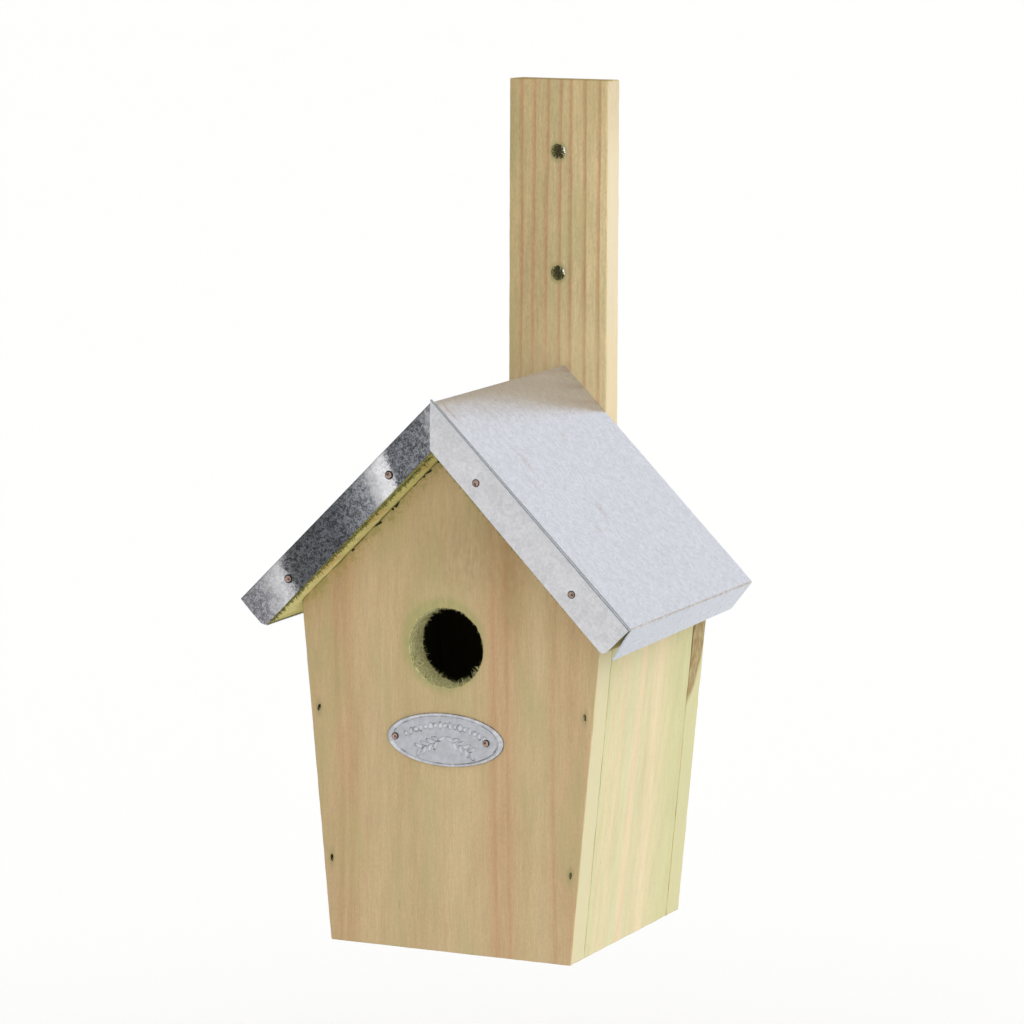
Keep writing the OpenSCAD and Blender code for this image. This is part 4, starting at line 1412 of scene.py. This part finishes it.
CAMERA_PLACE = (0.8957, -1.9363, 0.5039)
CAMERA_YAW, CAMERA_PITCH, CAMERA_ROLL = 24.75, -8.87, 0.17
CAMERA_LENS = 188.2
# The sun lamp stands for a large softbox over the right shoulder: its way, strength and spread in degrees
KEY_WAY = (0.62, -0.48, 0.62)
KEY_STRENGTH = 1.97
KEY_SPREAD = 120
ROOM_DIM, ROOM_BRIGHT = 0.46, 0.97
FLOOR_REACH = 40
# The box hangs, so there is room under it for its floor to swing down.
HANG_HEIGHT = 0.11


class NESTBOX_OT_stage(bpy.types.Operator):
    """Sets the pale floor, the soft lights and the camera"""
    bl_idname = "nestbox.stage"
    bl_label = "Stage"

    def execute(self, context):
        scene = context.scene
        # Matt paper: no gloss at all, so the floor shows no reflection of the box.
        paper, _, shader = blank_material("matt_white_paper", Roughness=0.95, Specular_IOR_Level=0.1)
        shader.inputs["Base Color"].default_value = (*colours().studio, 1)
        shape = bmesh.new()
        bmesh.ops.create_grid(shape, x_segments=8, y_segments=8, size=FLOOR_REACH)
        mesh = bpy.data.meshes.new("studio_floor")
        shape.to_mesh(mesh)
        shape.free()
        mesh.materials.append(paper)
        floor = bpy.data.objects.new("studio_floor", mesh)
        floor.location.z = -HANG_HEIGHT
        scene.collection.objects.link(floor)

        world = bpy.data.worlds.new("white_studio")
        world.use_nodes = True
        tree = world.node_tree
        tree.nodes.clear()
        seen = add_node(tree, "LightPath", out="Is Camera Ray")
        # The wall behind is brighter than the room in front.
        way = add_node(tree, "TexCoord", out="Generated")
        behind = add_node(tree, "VectorMath", [way, (0.5, 0.87, 0)], out="Value", operation="DOT_PRODUCT")
        strength = add_node(tree, "MapRange", [behind, -0.15, 0.6, ROOM_DIM, ROOM_BRIGHT], **SMOOTH)
        room = add_node(tree, "Background", ["#FFFFFF", strength])
        backdrop = add_node(tree, "Background", ["#FFFFFF", 1.0])
        mixed = add_node(tree, "MixShader", [seen, room, backdrop])
        output = tree.nodes.new("ShaderNodeOutputWorld")
        tree.links.new(mixed, output.inputs[0])
        scene.world = world

        key = bpy.data.lights.new("overhead_softbox", "SUN")
        key.energy = KEY_STRENGTH
        key.angle = math.radians(KEY_SPREAD)
        lamp = bpy.data.objects.new("overhead_softbox", key)
        lamp.rotation_euler = Vector(KEY_WAY).to_track_quat("Z", "Y").to_euler()
        scene.collection.objects.link(lamp)

        lens = bpy.data.cameras.new("camera")
        lens.sensor_width = 36
        lens.lens = CAMERA_LENS
        lens.clip_end = 200
        camera = bpy.data.objects.new("camera", lens)
        turn = Matrix.Rotation(math.radians(CAMERA_YAW), 4, "Z")
        turn = turn @ Matrix.Rotation(math.radians(90 + CAMERA_PITCH), 4, "X")
        turn = turn @ Matrix.Rotation(math.radians(CAMERA_ROLL), 4, "Z")
        camera.matrix_world = Matrix.Translation(CAMERA_PLACE) @ turn
        scene.collection.objects.link(camera)
        scene.camera = camera
        scene.view_settings.view_transform = "Standard"
        return {"FINISHED"}


# ---------------------------------------------------------------- panel and registration

OPERATORS = (
    NESTBOX_OT_stage, NESTBOX_OT_front_board, NESTBOX_OT_entrance_fibres, NESTBOX_OT_sides,
    NESTBOX_OT_back_board, NESTBOX_OT_roof_boards, NESTBOX_OT_batten, NESTBOX_OT_floor_panel,
    NESTBOX_OT_roof_sheet, NESTBOX_OT_fascias, NESTBOX_OT_nails, NESTBOX_OT_hardware, NESTBOX_OT_plaque,
)


class NESTBOX_PT_panel(bpy.types.Panel):
    """Lists the pieces of the nest box and its settings"""
    bl_idname = "NESTBOX_PT_panel"
    bl_label = "Nest box"
    bl_space_type = "VIEW_3D"
    bl_region_type = "UI"
    bl_category = "Nest box"

    def draw(self, context):
        layout = self.layout
        for group in (context.scene.nest_box_sizes, context.scene.nest_box_colours):
            for name in group.bl_rna.properties.keys():
                if name not in {"rna_type", "name"}:
                    layout.prop(group, name)
        for operator in OPERATORS:
            layout.operator(operator.bl_idname)


CLASSES = (NestBoxSizes, NestBoxColours, *OPERATORS, NESTBOX_PT_panel)


def register():
    for cls in CLASSES:
        bpy.utils.register_class(cls)
    bpy.types.Scene.nest_box_sizes = bpy.props.PointerProperty(type=NestBoxSizes)
    bpy.types.Scene.nest_box_colours = bpy.props.PointerProperty(type=NestBoxColours)


def unregister():
    del bpy.types.Scene.nest_box_colours
    del bpy.types.Scene.nest_box_sizes
    for cls in reversed(CLASSES):
        bpy.utils.unregister_class(cls)


def main():
    register()
    bpy.ops.nestbox.stage()
    bpy.ops.nestbox.front_board()
    bpy.ops.nestbox.entrance_fibres()
    bpy.ops.nestbox.sides()
    bpy.ops.nestbox.back_board()
    bpy.ops.nestbox.roof_boards()
    bpy.ops.nestbox.batten()
    bpy.ops.nestbox.floor_panel()
    bpy.ops.nestbox.roof_sheet()
    bpy.ops.nestbox.fascias()
    bpy.ops.nestbox.nails()
    bpy.ops.nestbox.hardware()
    bpy.ops.nestbox.plaque()


if __name__ == "__main__":
    main()
